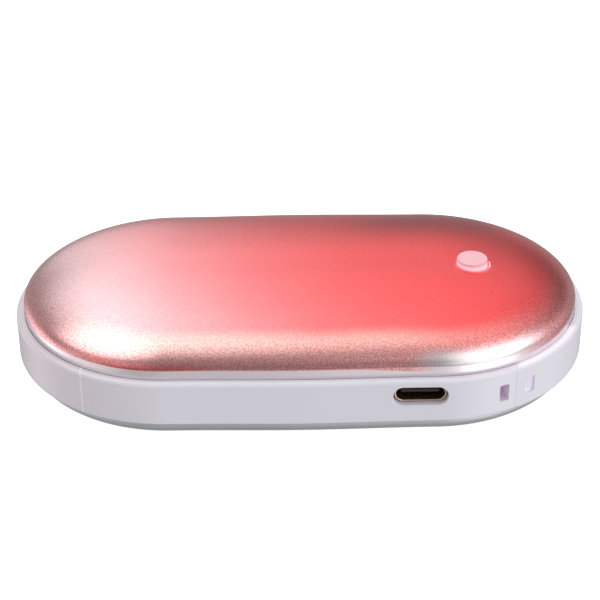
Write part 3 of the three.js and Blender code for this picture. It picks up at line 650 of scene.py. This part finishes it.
class Field:
    """A shader value that changes from place to place. Arithmetic on it adds Math nodes."""

    def __init__(self, nodes, socket):
        self.nodes = nodes
        self.socket = socket

    def maths(self, operation, *values):
        return self.nodes.add("ShaderNodeMath", {"operation": operation}, dict(enumerate(values)))

    def __add__(self, other):
        return self.maths("ADD", self, other)

    __radd__ = __add__

    def __sub__(self, other):
        return self.maths("SUBTRACT", self, other)

    def __rsub__(self, other):
        return self.maths("SUBTRACT", other, self)

    def __mul__(self, other):
        return self.maths("MULTIPLY", self, other)

    __rmul__ = __mul__

    def __truediv__(self, other):
        return self.maths("DIVIDE", self, other)

    def __pow__(self, other):
        return self.maths("POWER", self, other)

    def __abs__(self):
        return self.maths("ABSOLUTE", self)

    def at_least(self, other):
        return self.maths("MAXIMUM", self, other)

    def rise(self, low, high):
        """0 below the low value, 1 above the high one, and a smooth step between."""
        return self.nodes.add("ShaderNodeMapRange", {"interpolation_type": "SMOOTHSTEP"},
                              {"Value": self, "From Min": low, "From Max": high})

    def fall(self, low, high):
        """1 below the low value, 0 above the high one, and a smooth step between."""
        return 1 - self.rise(low, high)

    def ramp(self, low, high):
        """0 below the low value, 1 above the high one, and a straight rise between."""
        return self.nodes.add("ShaderNodeMapRange", {}, {"Value": self, "From Min": low, "From Max": high})

    def output(self, name):
        """Another output of the same node."""
        return Field(self.nodes, self.socket.node.outputs[name])


class Nodes:
    """The shader nodes of a material or a world, which starts with none."""

    def __init__(self, owner):
        owner.use_nodes = True
        self.tree = owner.node_tree
        self.tree.nodes.clear()

    def add(self, kind, settings=None, inputs=None, output=0):
        """Adds a node: first its settings, then the values or links of its sockets. Gives one output."""
        node = self.tree.nodes.new(kind)
        for key, value in (settings or {}).items():
            setattr(node, key, value)
        for key, value in (inputs or {}).items():
            if isinstance(value, Field):
                self.tree.links.new(value.socket, node.inputs[key])
            else:
                node.inputs[key].default_value = value
        return Field(self, node.outputs[output]) if node.outputs else None


class Finish(Nodes):
    """A material under construction."""

    def __init__(self, name):
        self.material = bpy.data.materials.new(name)
        super().__init__(self.material)

    def where(self):
        """Object coordinates."""
        return self.add("ShaderNodeTexCoord", output="Object")

    def place(self):
        """Object coordinates, and their three parts."""
        where = self.where()
        parts = self.add("ShaderNodeSeparateXYZ", inputs={0: where})
        return where, parts, parts.output("Y"), parts.output("Z")

    def noise(self, where, size, detail=2.0):
        """Noise from 0 to 1 whose features have a size."""
        return self.add("ShaderNodeTexNoise", inputs={"Vector": where, "Scale": 1 / size, "Detail": detail})

    def cells(self, where, size):
        """Distances to the middles of round cells of a size."""
        return self.add("ShaderNodeTexVoronoi", inputs={"Vector": where, "Scale": 1 / size})

    def blend(self, share, first, second, kind="MIX"):
        """Mixes a share of the second colour into the first, or multiplies the first by it."""
        settings = {"data_type": "RGBA", "blend_type": kind}
        return self.add("ShaderNodeMix", settings, {0: share, 6: first, 7: second}, output=2)

    def bump(self, height, depth):
        """A bump whose height of 1 stands for a depth."""
        return self.add("ShaderNodeBump", inputs={"Height": height, "Distance": depth, "Strength": 1.0})

    def surface(self, **inputs):
        """Ends the material in a Principled shader. Words of a socket's name are joined by underscores."""
        named = {key.replace("_", " "): value for key, value in inputs.items()}
        shader = self.add("ShaderNodeBsdfPrincipled", inputs=named)
        self.add("ShaderNodeOutputMaterial", inputs={"Surface": shader})
        return self.material


# Finishes

# A span is the place where a change starts and the place where it is complete: a distance along x, along y
# or from an edge. Shares of height run from 0 at the band to 1 at the crown, and shares of front from -1
# straight to the back to 1 straight to the front. The roughness of a grain, cloud, ripple or scratch is what
# it adds at most to the piece's own.

BLACK = (0, 0, 0, 1)
WHITE = (1, 1, 1, 1)
NOISE_MIDDLE = 0.5
GLOW_STRENGTH = 0.7

GRAIN = 0.3 * MM
GRAIN_DEPTH = 0.015 * MM
GRAIN_HEIGHT_SHARE = 0.1
GRAIN_ROUGHNESS = 0.1
ANODISED_ROUGHNESS = 0.18
DRIFT = 14 * MM
DRIFT_REACH = 5 * MM
DRIFT_HEIGHT_SHARE = 0.04

# Where the mix from pale to coral runs: partly dye, partly a painted reflection at the pale left end
DYE_AND_REFLECTION_SPAN = (-40.5 * MM, 37.5 * MM)
DYE_AND_REFLECTION_SLANT_SHARE = 0.3
# Where the painted peach highlight lies and how strong it is
PEACH_FRONT_SHARES = (0.5, 1)
PEACH_HEIGHT_SHARES = (0.6, 0.76)
PEACH_EVEN_SHARE = 0.38
PEACH_LEFT_SHARE = 0.5
PEACH_FADE_SPAN = (12 * MM, 36 * MM)
PEACH_FADE_SHARE = 0.6
# Where the rim's mix of thinner dye and painted reflection lies
RIM_HEIGHT_SHARES = (0.3, 0.75)
RIM_FRONT_SHARES = (-1.2, 0.4)
RIM_EVEN_SHARE = 0.4
# Where the painted shade at the back right lies
DUSK_START_SPAN = (2 * MM, 22 * MM)
DUSK_END_SPAN = (33 * MM, 41 * MM)
DUSK_BACK_SPAN = (5 * MM, 18 * MM)
# Where the browner painted shade lies, left of the middle
BRICK_PLACE = -27 * MM
BRICK_SPAN = (3 * MM, 16 * MM)
BRICK_HEIGHT_SHARES = (0.22, 0.42)
# Where the painted highlight patch at the front right lies
BARE_START_SPAN = (17 * MM, 24 * MM)
BARE_END_SPAN = (36 * MM, 44 * MM)
BARE_HEIGHT_SHARES = (0.4, 0.56)
BARE_FRONT_SHARES = (0, 0.1)
# How far the foot's painted reflection reaches up, lower at the right
FOOT_LOW_SPAN = (8 * MM, 20 * MM)
FOOT_LOW_SHARE = 0.35
FOOT_EDGE_SHARES = (-0.01, 0)
SPECK_NOISE_SHARES = (0.36, 0.64)
SPECK_HEIGHT_SHARES = (0.45, 0.9)
SPECK_LOW_SHARE = 0.4
SPECK_FADE_SHARE = 0.29
HALO_REACH = 1.6 * MM
GAP_EDGE = 0.1 * MM
CRESCENT_TURN_SHARES = (0.86, 0.95)
CRESCENT_BACK_SPAN = (-1 * MM, -0.5 * MM)
CRESCENT_INNER_SPAN = (0.1 * MM, 0.2 * MM)
CRESCENT_OUTER_SPAN = (0.3 * MM, 0.4 * MM)

# What the shell's colour depends on. Grained is the height share roughened by the grain.
Spot = namedtuple("Spot", "x y height grained drift front")


def dye_and_highlight_colour(finish, colours, spot):
    """The dye's colour, paler at the left end where it is partly a painted reflection of a bright light,
    with a painted peach highlight where the dome turns over at the front.

    The share of the full dye is 1 - (1 - t)³, where t runs from 0 near the left end to 1 near the right
    one. The painted peach highlight is strongest at the left and fades to the right.
    """
    # The mix is partly dye and partly a painted reflection: pale at the left end, where a bright light is
    # mirrored.
    across = (spot.x + spot.y * DYE_AND_REFLECTION_SLANT_SHARE + spot.drift * DRIFT_REACH).ramp(*DYE_AND_REFLECTION_SPAN)
    dye = finish.blend(1 - (1 - across) ** 3, colours.pale, colours.coral)
    wavy = spot.height + spot.drift * DRIFT_HEIGHT_SHARE
    # Painted highlight: peach where the dome turns over at the front, strongest at the left.
    turnover = spot.front.rise(*PEACH_FRONT_SHARES) * wavy.fall(*PEACH_HEIGHT_SHARES)
    strength = (1 - across) ** 2 * PEACH_LEFT_SHARE + PEACH_EVEN_SHARE
    fading = 1 - spot.x.rise(*PEACH_FADE_SPAN) * PEACH_FADE_SHARE
    return finish.blend(turnover * strength * fading, dye, colours.peach)


def rim_and_shade_colour(finish, colours, spot, dye_and_painted_light):
    """Low on the dome partly thinner dye and partly a painted reflection, more of it at the front; painted
    shade at the back right, and a browner painted shade left of the middle."""
    # Low on the dome: partly thinner dye, partly a painted reflection, more of it at the front.
    front_share = spot.front.rise(*RIM_FRONT_SHARES) * (1 - RIM_EVEN_SHARE) + RIM_EVEN_SHARE
    low = spot.grained.fall(*RIM_HEIGHT_SHARES) * front_share
    rimmed = finish.blend(low, dye_and_painted_light, colours.rim_dye_and_reflection)
    # Painted shade: the metal's colour multiplied down at the back right.
    back_right_shade = spot.x.rise(*DUSK_START_SPAN) * spot.x.fall(*DUSK_END_SPAN) * spot.y.rise(*DUSK_BACK_SPAN)
    dimmed = finish.blend(back_right_shade, rimmed, colours.back_right_shade, "MULTIPLY")
    # Painted shade: browner left of the middle, low on the dome.
    brick_shade = abs(spot.x - BRICK_PLACE).fall(*BRICK_SPAN) * spot.grained.fall(*BRICK_HEIGHT_SHARES)
    return finish.blend(brick_shade, dimmed, colours.brick_shade)


def button_glow(finish, colours, button, right, forward):
    """The button's light on the metal round it, from the distances to its middle.

    It is a halo in front of the button, light in the gap, and at the right a thin crescent where the
    hole's edge mirrors it.
    """
    distance = (right ** 2 + forward ** 2) ** 0.5
    past_gap = distance - (button.radius + button.hole_gap)
    ring = distance.fall(button.radius, button.radius + HALO_REACH)
    in_front = forward.rise(0, button.radius)
    halo = finish.blend(ring * ring * in_front, BLACK, colours.glow)
    gap_lit = finish.blend(past_gap.fall(0, GAP_EDGE), halo, colours.gap_light)
    rightwards = (right / distance).rise(*CRESCENT_TURN_SHARES) * forward.rise(*CRESCENT_BACK_SPAN)
    line = past_gap.rise(*CRESCENT_INNER_SPAN) * past_gap.fall(*CRESCENT_OUTER_SPAN)
    return finish.blend(line * rightwards, gap_lit, WHITE)


def anodised_finish(colours, body, button, centre):
    """Bead-blasted metal with a clear dye and a grain of fine dark specks; painted reflections, a painted
    highlight and painted shade lie in its colour. The upright foot and a patch at the front right have almost
    no dye and no specks: on the foot a painted reflection of the band's white ledge, on the patch a painted
    highlight where the studio's light mirrors white. Round the button the metal is lit."""
    finish = Finish("anodised_pink")
    where, x, y, z = finish.place()
    height = (z - (MID_HEIGHT + body.band_half_height)) / body.crown_rise
    grain = finish.noise(where, GRAIN)
    grained = height + (grain - NOISE_MIDDLE) * GRAIN_HEIGHT_SHARE
    drift = finish.noise(where, DRIFT) - NOISE_MIDDLE
    beyond = (abs(x) - body.end_centre).at_least(0)
    front = -1 * y / (beyond * beyond + y * y) ** 0.5
    spot = Spot(x, y, height, grained, drift, front)

    dye_and_painted_light = rim_and_shade_colour(finish, colours, spot, dye_and_highlight_colour(finish, colours, spot))
    # Painted highlight: an undyed patch at the front right, without specks, where the studio's light mirrors
    # white.
    patch = x.rise(*BARE_START_SPAN) * x.fall(*BARE_END_SPAN)
    highlight_patch = patch * grained.fall(*BARE_HEIGHT_SHARES) * front.rise(*BARE_FRONT_SHARES)
    # Painted reflection: the upright foot's light grey stands for the band's white ledge; it reaches less
    # high at the right.
    foot_top = (1 - x.rise(*FOOT_LOW_SPAN) * FOOT_LOW_SHARE) * (body.top_foot / body.crown_rise)
    foot = (height - foot_top).fall(*FOOT_EDGE_SHARES)
    footed = finish.blend(foot, finish.blend(highlight_patch, dye_and_painted_light, colours.foot), colours.foot)
    speck_share = SPECK_LOW_SHARE - height.rise(*SPECK_HEIGHT_SHARES) * SPECK_FADE_SHARE
    specks = grain.rise(*SPECK_NOISE_SHARES) * (1 - foot) * (1 - highlight_patch) * speck_share
    sparkle = finish.blend(specks, footed, colours.speck, "MULTIPLY")
    glow = button_glow(finish, colours, button, x - centre.x, centre.y - y)
    return finish.surface(Base_Color=sparkle, Metallic=1.0,
                          Roughness=grain * GRAIN_ROUGHNESS + ANODISED_ROUGHNESS,
                          Normal=finish.bump(grain * (1 - foot), GRAIN_DEPTH),
                          Emission_Color=glow, Emission_Strength=GLOW_STRENGTH)


def darker(tone, share):
    """A colour darkened by a share."""
    return tuple((1 - share) * part for part in tone[:3]) + (1,)


UNDER_METAL_SHARE = 0.9
UNDER_ROUGHNESS = 0.35
UNDER_GRAIN_ROUGHNESS = 0.15
UNDER_GRAIN_DEPTH = 0.012 * MM
UNDER_DRIFT = 15 * MM
UNDER_DRIFT_SHARE = 0.6
UNDER_DARK_SHARE = 0.15
DIMPLE_GRAIN_SHARE = 0.7
DIMPLE_CELL_SHARE = 0.5


def under_shell_finish(colours):
    """The bottom shell's bead-blasted metal, without dye."""
    finish = Finish("bead_blasted_metal")
    where = finish.where()
    grain = finish.noise(where, GRAIN)
    dimples = grain * DIMPLE_GRAIN_SHARE + finish.cells(where, GRAIN) * DIMPLE_CELL_SHARE
    drift = finish.noise(where, UNDER_DRIFT)
    pale = drift * UNDER_DRIFT_SHARE + grain * (1 - UNDER_DRIFT_SHARE)
    tone = finish.blend(pale, darker(colours.under, UNDER_DARK_SHARE), colours.under)
    return finish.surface(Base_Color=tone, Metallic=UNDER_METAL_SHARE,
                          Roughness=grain * UNDER_GRAIN_ROUGHNESS + UNDER_ROUGHNESS,
                          Normal=finish.bump(dimples, UNDER_GRAIN_DEPTH))


BAND_ROUGHNESS = 0.2
BAND_CLOUD = 9 * MM
BAND_CLOUD_REACH = 10 * MM
BAND_CLOUD_SHARE = 0.06
BAND_CLOUD_ROUGHNESS = 0.06
BAND_RIPPLE = 1.5 * MM
BAND_RIPPLE_DEPTH = 0.001 * MM
BAND_RIPPLE_ROUGHNESS = 0.04
WARM_SPAN = (-48 * MM, -18 * MM)
FRONT_SPAN = (0, 1 * MM)
# Width and strength of the painted highlight along the left mould line, and of the grey right one
LEFT_LINE_SPAN = (0.05 * MM, 0.16 * MM)
LEFT_LINE_SHARE = 0.5
RIGHT_LINE_SPAN = (0.05 * MM, 0.14 * MM)
RIGHT_LINE_SHARE = 0.28
SLOT_DEPTH_SPAN = (0.1 * MM, 0.8 * MM)
SLOT_RIGHT_SPAN = (5 * MM, 6 * MM)
SLOT_FRONT_SPAN = (10 * MM, 12 * MM)
SLOT_ANGLE_MARGIN = 0.05


def slot_glow(finish, colours, body, eyelet, x, y):
    """Light inside the eyelet's slots, dim in the first one and bright in the second."""
    outwards = (x - body.end_centre).at_least(0)
    depth = body.end_radius - (outwards * outwards + y * y) ** 0.5
    at_front = (0 - y).rise(*SLOT_FRONT_SPAN)
    in_slots = depth.rise(*SLOT_DEPTH_SPAN) * outwards.rise(*SLOT_RIGHT_SPAN) * at_front
    first_x = body.end_radius * math.sin(eyelet.first_angle + SLOT_ANGLE_MARGIN)
    second_x = body.end_radius * math.sin(eyelet.second_angle - SLOT_ANGLE_MARGIN)
    second = outwards.rise(first_x, second_x)
    slot_light = finish.blend(second, colours.slot, colours.second_slot)
    return finish.blend(in_slots, BLACK, slot_light)


def band_finish(colours, body, eyelet):
    """Glossy white moulded plastic, faintly cloudy and a little warmer at the left, with a painted highlight
    along the mould line at the left, a grey mould line at the right and light in the slots."""
    finish = Finish("white_plastic")
    where, x, y, _ = finish.place()
    cloud = finish.noise(where, BAND_CLOUD, detail=3)
    ripple = finish.noise(where, BAND_RIPPLE, detail=3)
    warm = (x + (cloud - NOISE_MIDDLE) * BAND_CLOUD_REACH).fall(*WARM_SPAN)
    tone = finish.blend(warm, colours.band, colours.band_warm)
    front = (0 - y).rise(*FRONT_SPAN)
    left_x = body.end_radius * math.sin(eyelet.left_line) - body.end_centre
    right_x = body.end_radius * math.sin(eyelet.right_line) + body.end_centre
    # A painted highlight along the left mould line, on the front only
    left_line = abs(x - left_x).fall(*LEFT_LINE_SPAN) * front
    right_line = abs(x - right_x).fall(*RIGHT_LINE_SPAN) * front
    lined = finish.blend(right_line * RIGHT_LINE_SHARE, tone, colours.second_slot)
    # Whiter in the clouds of the plastic and along the painted highlight of the left mould line
    white = (cloud * BAND_CLOUD_SHARE).at_least(left_line * LEFT_LINE_SHARE)
    cloudy = finish.blend(white, lined, WHITE)
    roughness = cloud * BAND_CLOUD_ROUGHNESS + ripple * BAND_RIPPLE_ROUGHNESS + BAND_ROUGHNESS
    light = slot_glow(finish, colours, body, eyelet, x, y)
    return finish.surface(Base_Color=cloudy, Roughness=roughness,
                          Normal=finish.bump(ripple, BAND_RIPPLE_DEPTH),
                          Emission_Color=light, Emission_Strength=GLOW_STRENGTH)


BUTTON_ROUGHNESS = 0.3
BUTTON_CLOUD = 1.5 * MM
BUTTON_CLOUD_ROUGHNESS = 0.1
BUTTON_LIGHT_SPAN = (-0.9 * MM, -0.02 * MM)
BUTTON_LIGHT_STRENGTH = 0.5


def button_finish(colours):
    """Clear pink plastic with light behind it, brightest at its side."""
    finish = Finish("clear_pink")
    where, _, _, z = finish.place()
    cloud = finish.noise(where, BUTTON_CLOUD)
    low = (z - BUTTON_HIGH.z).fall(*BUTTON_LIGHT_SPAN)
    glow = finish.blend(low, colours.face_light, colours.button_light)
    return finish.surface(Base_Color=colours.button,
                          Roughness=cloud * BUTTON_CLOUD_ROUGHNESS + BUTTON_ROUGHNESS,
                          Emission_Color=glow, Emission_Strength=BUTTON_LIGHT_STRENGTH)


STAIN = 2 * MM
STAIN_SHARE = 0.18
SCRATCH = 0.12 * MM
SCRATCH_DEPTH = 0.002 * MM
SCRATCH_ROUGHNESS = 0.15


def metal_finish(name, tone, roughness):
    """Bare sheet metal with fine scratches and a faint stain."""
    finish = Finish(name)
    where = finish.where()
    stain = finish.noise(where, STAIN)
    scratch = finish.noise(where, SCRATCH, detail=3)
    stained = finish.blend(stain, darker(tone, STAIN_SHARE), tone)
    return finish.surface(Base_Color=stained, Metallic=1.0,
                          Roughness=scratch * SCRATCH_ROUGHNESS + roughness,
                          Normal=finish.bump(scratch, SCRATCH_DEPTH))


PLASTIC_CLOUD = 3 * MM
PLASTIC_CLOUD_SHARE = 0.1
PLASTIC_GRAIN = 0.15 * MM
PLASTIC_GRAIN_DEPTH = 0.004 * MM
PLASTIC_GRAIN_ROUGHNESS = 0.15


def plastic_finish(name, tone, roughness, mottle=PLASTIC_CLOUD_SHARE):
    """Moulded plastic with a fine matt grain and a mottle of darker clouds."""
    finish = Finish(name)
    where = finish.where()
    cloud = finish.noise(where, PLASTIC_CLOUD, detail=3)
    grain = finish.noise(where, PLASTIC_GRAIN)
    mottled = finish.blend(cloud, darker(tone, mottle), tone)
    return finish.surface(Base_Color=mottled, Roughness=grain * PLASTIC_GRAIN_ROUGHNESS + roughness,
                          Normal=finish.bump(grain, PLASTIC_GRAIN_DEPTH))


PAPER_TONE = (0.82, 0.82, 0.82, 1)
PAPER_ROUGHNESS = 0.9
PAPER_FIBRE = 3 * MM
PAPER_FIBRE_SHARE = 0.05


def floor_finish(glow):
    """Pale matt paper with a glow that fills its shadows."""
    finish = Finish("pale_floor")
    fibre = finish.noise(finish.where(), PAPER_FIBRE)
    tone = finish.blend(fibre, darker(PAPER_TONE, PAPER_FIBRE_SHARE), PAPER_TONE)
    return finish.surface(Base_Color=tone, Roughness=PAPER_ROUGHNESS,
                          Emission_Color=WHITE, Emission_Strength=glow)


# Operators

class WARMER_OT_top_shell(bpy.types.Operator):
    """Builds the domed top shell with its button hole"""

    bl_idname = "warmer.top_shell"
    bl_label = "Top shell"

    def execute(self, context):
        scene = context.scene
        centre = (BUTTON_LOW + BUTTON_HIGH) / 2
        points = top_shell_points(scene.warmer_body, scene.warmer_button, np.array([centre.x, centre.y]))
        finish = anodised_finish(scene.warmer_colours, scene.warmer_body, scene.warmer_button, centre)
        dress("top_shell", make_mesh(points, closed=True), finish)
        return {"FINISHED"}


class WARMER_OT_bottom_shell(bpy.types.Operator):
    """Builds the bottom shell with its flat face"""

    bl_idname = "warmer.bottom_shell"
    bl_label = "Bottom shell"

    def execute(self, context):
        scene = context.scene
        mesh = make_mesh(bottom_shell_points(scene.warmer_body))
        dress("bottom_shell", mesh, under_shell_finish(scene.warmer_colours))
        return {"FINISHED"}


class WARMER_OT_band(bpy.types.Operator):
    """Builds the white band with its charging opening, lanyard eyelet and mould lines"""

    bl_idname = "warmer.band"
    bl_label = "Band"

    def execute(self, context):
        scene = context.scene
        body = scene.warmer_body
        eyelet = scene.warmer_eyelet
        blank = make_mesh(band_points(body, eyelet), closed=True)
        cutters = [
            opening_cutter(body, eyelet),
            slot_cutter(body, eyelet, eyelet.first_angle, eyelet.first_width),
            slot_cutter(body, eyelet, eyelet.second_angle, eyelet.second_width),
            tunnel_cutter(body, eyelet),
        ]
        finish = band_finish(scene.warmer_colours, body, eyelet)
        dress("mid_band", cut_out(blank, cutters), finish)
        return {"FINISHED"}


class WARMER_OT_button(bpy.types.Operator):
    """Builds the push button"""

    bl_idname = "warmer.button"
    bl_label = "Button"

    def execute(self, context):
        scene = context.scene
        mesh = make_mesh(button_points(scene.warmer_button))
        dress("button_cap", mesh, button_finish(scene.warmer_colours), "button")
        return {"FINISHED"}


# The charging socket's finishes: the colour and the roughness
SOCKET_STEEL = (shade(226, 205, 186), 0.2)
SOCKET_PLASTIC = (shade(40, 34, 40), 0.4)


class WARMER_OT_charging_socket(bpy.types.Operator):
    """Builds the charging socket's metal shell and tongue"""

    bl_idname = "warmer.charging_socket"
    bl_label = "Charging socket"

    def execute(self, context):
        socket = context.scene.warmer_socket
        shell = make_mesh(socket_shell_points(socket), closed=True)
        dress("usb_c_shell", shell, metal_finish("steel", *SOCKET_STEEL))
        tongue = make_mesh(tongue_points(socket))
        dress("usb_c_tongue", tongue, plastic_finish("black_plastic", *SOCKET_PLASTIC))
        return {"FINISHED"}


# Finishes of the pieces that keep their plain forms, by material: the colour, the roughness and, for some
# plastics, the share of the mottle
METALS = {
    "contact_gold": (shade(235, 190, 110), 0.25),
    "nickel": (shade(190, 186, 176), 0.3),
    "steel": (shade(198, 196, 192), 0.25),
    "anodised_pink": (shade(224, 120, 124), 0.35),
}
PLASTICS = {
    "cell_wrap": (shade(62, 120, 168), 0.3),
    "cream_plastic": (shade(226, 216, 198), 0.45),
    "board_green": (shade(24, 88, 58), 0.35, 0.3),
    "ferrite": (shade(58, 58, 62), 0.7, 0.2),
    "ceramic": (shade(182, 150, 112), 0.45),
    "led_white": (shade(244, 240, 214), 0.3),
    "heater_film": (shade(190, 112, 40), 0.3, 0.25),
    "insulating_foam": (shade(214, 210, 202), 0.9, 0.15),
    "red_lead": (shade(178, 32, 36), 0.4),
    "black_lead": (shade(26, 26, 28), 0.4),
    "black_plastic": (shade(34, 34, 38), 0.45),
    "white_plastic": (shade(226, 223, 234), 0.3),
    "clear_pink": (shade(243, 185, 194), 0.3),
}


class WARMER_OT_inner_pieces(bpy.types.Operator):
    """Gives the pieces that keep their plain forms their finishes"""

    bl_idname = "warmer.inner_pieces"
    bl_label = "Inner pieces"

    def execute(self, context):
        finishes = {name: metal_finish(f"plain_{name}", *looks) for name, looks in METALS.items()}
        for name, looks in PLASTICS.items():
            finishes[name] = plastic_finish(f"plain_{name}", *looks)
        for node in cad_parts.values():
            for slot in node.material_slots:
                name = slot.material.name.split(".")[0]
                slot.material = finishes[name]
        return {"FINISHED"}


class WARMER_OT_stage(bpy.types.Operator):
    """Builds the floor, the studio's light and the camera"""

    bl_idname = "warmer.stage"
    bl_label = "Stage"

    def execute(self, context):
        scene = context.scene
        stage = scene.warmer_stage
        scene.view_settings.view_transform = "Standard"
        half = stage.floor_size / 2
        mesh = bpy.data.meshes.new("floor")
        corners = [(-half, -half, 0), (half, -half, 0), (half, half, 0), (-half, half, 0)]
        mesh.from_pydata(corners, [], [(0, 1, 2, 3)])
        floor = show("floor", mesh, floor_finish(stage.floor_glow))
        floor.visible_glossy = False
        floor.visible_diffuse = False
        add_world(stage)
        add_softbox()
        add_camera(stage)
        return {"FINISHED"}


SOFTBOX_PLACE = Vector((0, 0.3, 0.9))
SOFTBOX_SIZE = (0.5, 0.3)
SOFTBOX_WATTS = 0.6
SOFTBOX_AIM = Vector((0, 0, MID_HEIGHT))
CLIP_START = 1 * MM


def add_softbox():
    """A soft rectangular light over the body. No surface mirrors it."""
    data = bpy.data.lights.new("overhead_softbox", "AREA")
    data.shape = "RECTANGLE"
    data.size, data.size_y = SOFTBOX_SIZE
    data.energy = SOFTBOX_WATTS
    light = bpy.data.objects.new("overhead_softbox", data)
    light.location = SOFTBOX_PLACE
    light.rotation_euler = (SOFTBOX_AIM - SOFTBOX_PLACE).to_track_quat("-Z", "Y").to_euler()
    light.visible_glossy = False
    bpy.context.scene.collection.objects.link(light)


# Each soft place of the studio: azimuth from the back to the right, height angle, reach, brightness. A
# negative brightness dims the tone all round. Seen from the front, the dome mirrors mostly the places with
# a positive height angle, and the band the others.
STUDIO_PLACES = [
    (4, 50, 42, 1.04),
    (-13, 10, 15, 0.46),
    (22, 35, 30, -0.42),
    (-37, 70, 29, 0.2),
    (-77, 61, 27, 1.9),
    (110, 50, 36, 1.4),
    (80, 22, 30, 0.3),
    (140, 24, 33, 0.9),
    (178, 58, 36, -0.1),
    (176, 20, 35, -0.12),
    (-125, 30, 41, 0.34),
    (180, -55, 50, 0.15),
    (125, -30, 60, 0.5),
    (135, -28, 24, 1.2),
    (-95, -25, 50, 0.5),
    (-70, -10, 35, 0.8),
]


def add_world(stage):
    """A dim studio with soft bright places. A place fades smoothly from its middle to its reach."""
    world = bpy.data.worlds.new("studio")
    studio = Nodes(world)
    direction = studio.add("ShaderNodeTexCoord", output="Generated")
    total = stage.studio_tone
    for azimuth, height, reach, tone in STUDIO_PLACES:
        turn, rise = math.radians(azimuth), math.radians(height)
        middle = (math.sin(turn) * math.cos(rise), math.cos(turn) * math.cos(rise), math.sin(rise))
        cosine = studio.add("ShaderNodeVectorMath", {"operation": "DOT_PRODUCT"},
                            {0: direction, 1: middle}, output="Value")
        edge = math.cos(math.radians(reach))
        fade = studio.add("ShaderNodeMapRange", {"interpolation_type": "SMOOTHSTEP"},
                          {"Value": cosine, "From Min": edge, "To Max": tone})
        total = fade + total
    light = studio.add("ShaderNodeBackground", inputs={"Color": total})
    studio.add("ShaderNodeOutputWorld", inputs={"Surface": light})
    bpy.context.scene.world = world


def add_camera(stage):
    """The camera: it stands on a line from its target, at an elevation and a turn, with a slight roll."""
    rise, turn, roll = stage.elevation, stage.turn, stage.roll
    back = Vector((math.sin(turn) * math.cos(rise), -math.cos(turn) * math.cos(rise), math.sin(rise)))
    level = Vector((math.cos(turn), math.sin(turn), 0))
    up = back.cross(level)
    right = level * math.cos(roll) + up * math.sin(roll)
    above = back.cross(right)
    target = Vector((stage.target_x, stage.target_y, MID_HEIGHT))
    data = bpy.data.cameras.new("camera")
    data.lens = stage.lens
    data.clip_start = CLIP_START
    camera = bpy.data.objects.new("camera", data)
    place = target + back * stage.distance
    axes = Matrix((right, above, back)).transposed().to_4x4()
    camera.matrix_world = Matrix.Translation(place) @ axes
    bpy.context.scene.collection.objects.link(camera)
    bpy.context.scene.camera = camera


class WARMER_PT_sidebar(bpy.types.Panel):
    """Lists the pieces of the hand warmer"""

    bl_idname = "WARMER_PT_sidebar"
    bl_label = "Hand Warmer"
    bl_space_type = "VIEW_3D"
    bl_region_type = "UI"
    bl_category = "Hand Warmer"

    def draw(self, context):
        for group in GROUPS:
            settings = getattr(context.scene, group)
            box = self.layout.box()
            box.label(text=type(settings).__doc__)
            for name in settings.bl_rna.properties.keys():
                if name not in ("name", "rna_type"):
                    box.prop(settings, name)
        for step in STEPS:
            self.layout.operator(step.bl_idname)


GROUPS = {
    "warmer_body": BodySizes,
    "warmer_eyelet": EyeletSizes,
    "warmer_button": ButtonSizes,
    "warmer_socket": SocketSizes,
    "warmer_colours": FinishColours,
    "warmer_stage": StageSettings,
}
STEPS = [
    WARMER_OT_inner_pieces,
    WARMER_OT_top_shell,
    WARMER_OT_bottom_shell,
    WARMER_OT_band,
    WARMER_OT_button,
    WARMER_OT_charging_socket,
    WARMER_OT_stage,
]


def register():
    for kind in [*GROUPS.values(), *STEPS, WARMER_PT_sidebar]:
        bpy.utils.register_class(kind)
    for name, kind in GROUPS.items():
        setattr(bpy.types.Scene, name, PointerProperty(type=kind))


def unregister():
    for name in GROUPS:
        delattr(bpy.types.Scene, name)
    for kind in [WARMER_PT_sidebar, *reversed(STEPS), *reversed(GROUPS.values())]:
        bpy.utils.unregister_class(kind)


def main():
    """Builds every piece in order."""
    register()
    for step in STEPS:
        group, name = step.bl_idname.split(".")
        getattr(getattr(bpy.ops, group), name)()


if __name__ == "__main__":
    main()
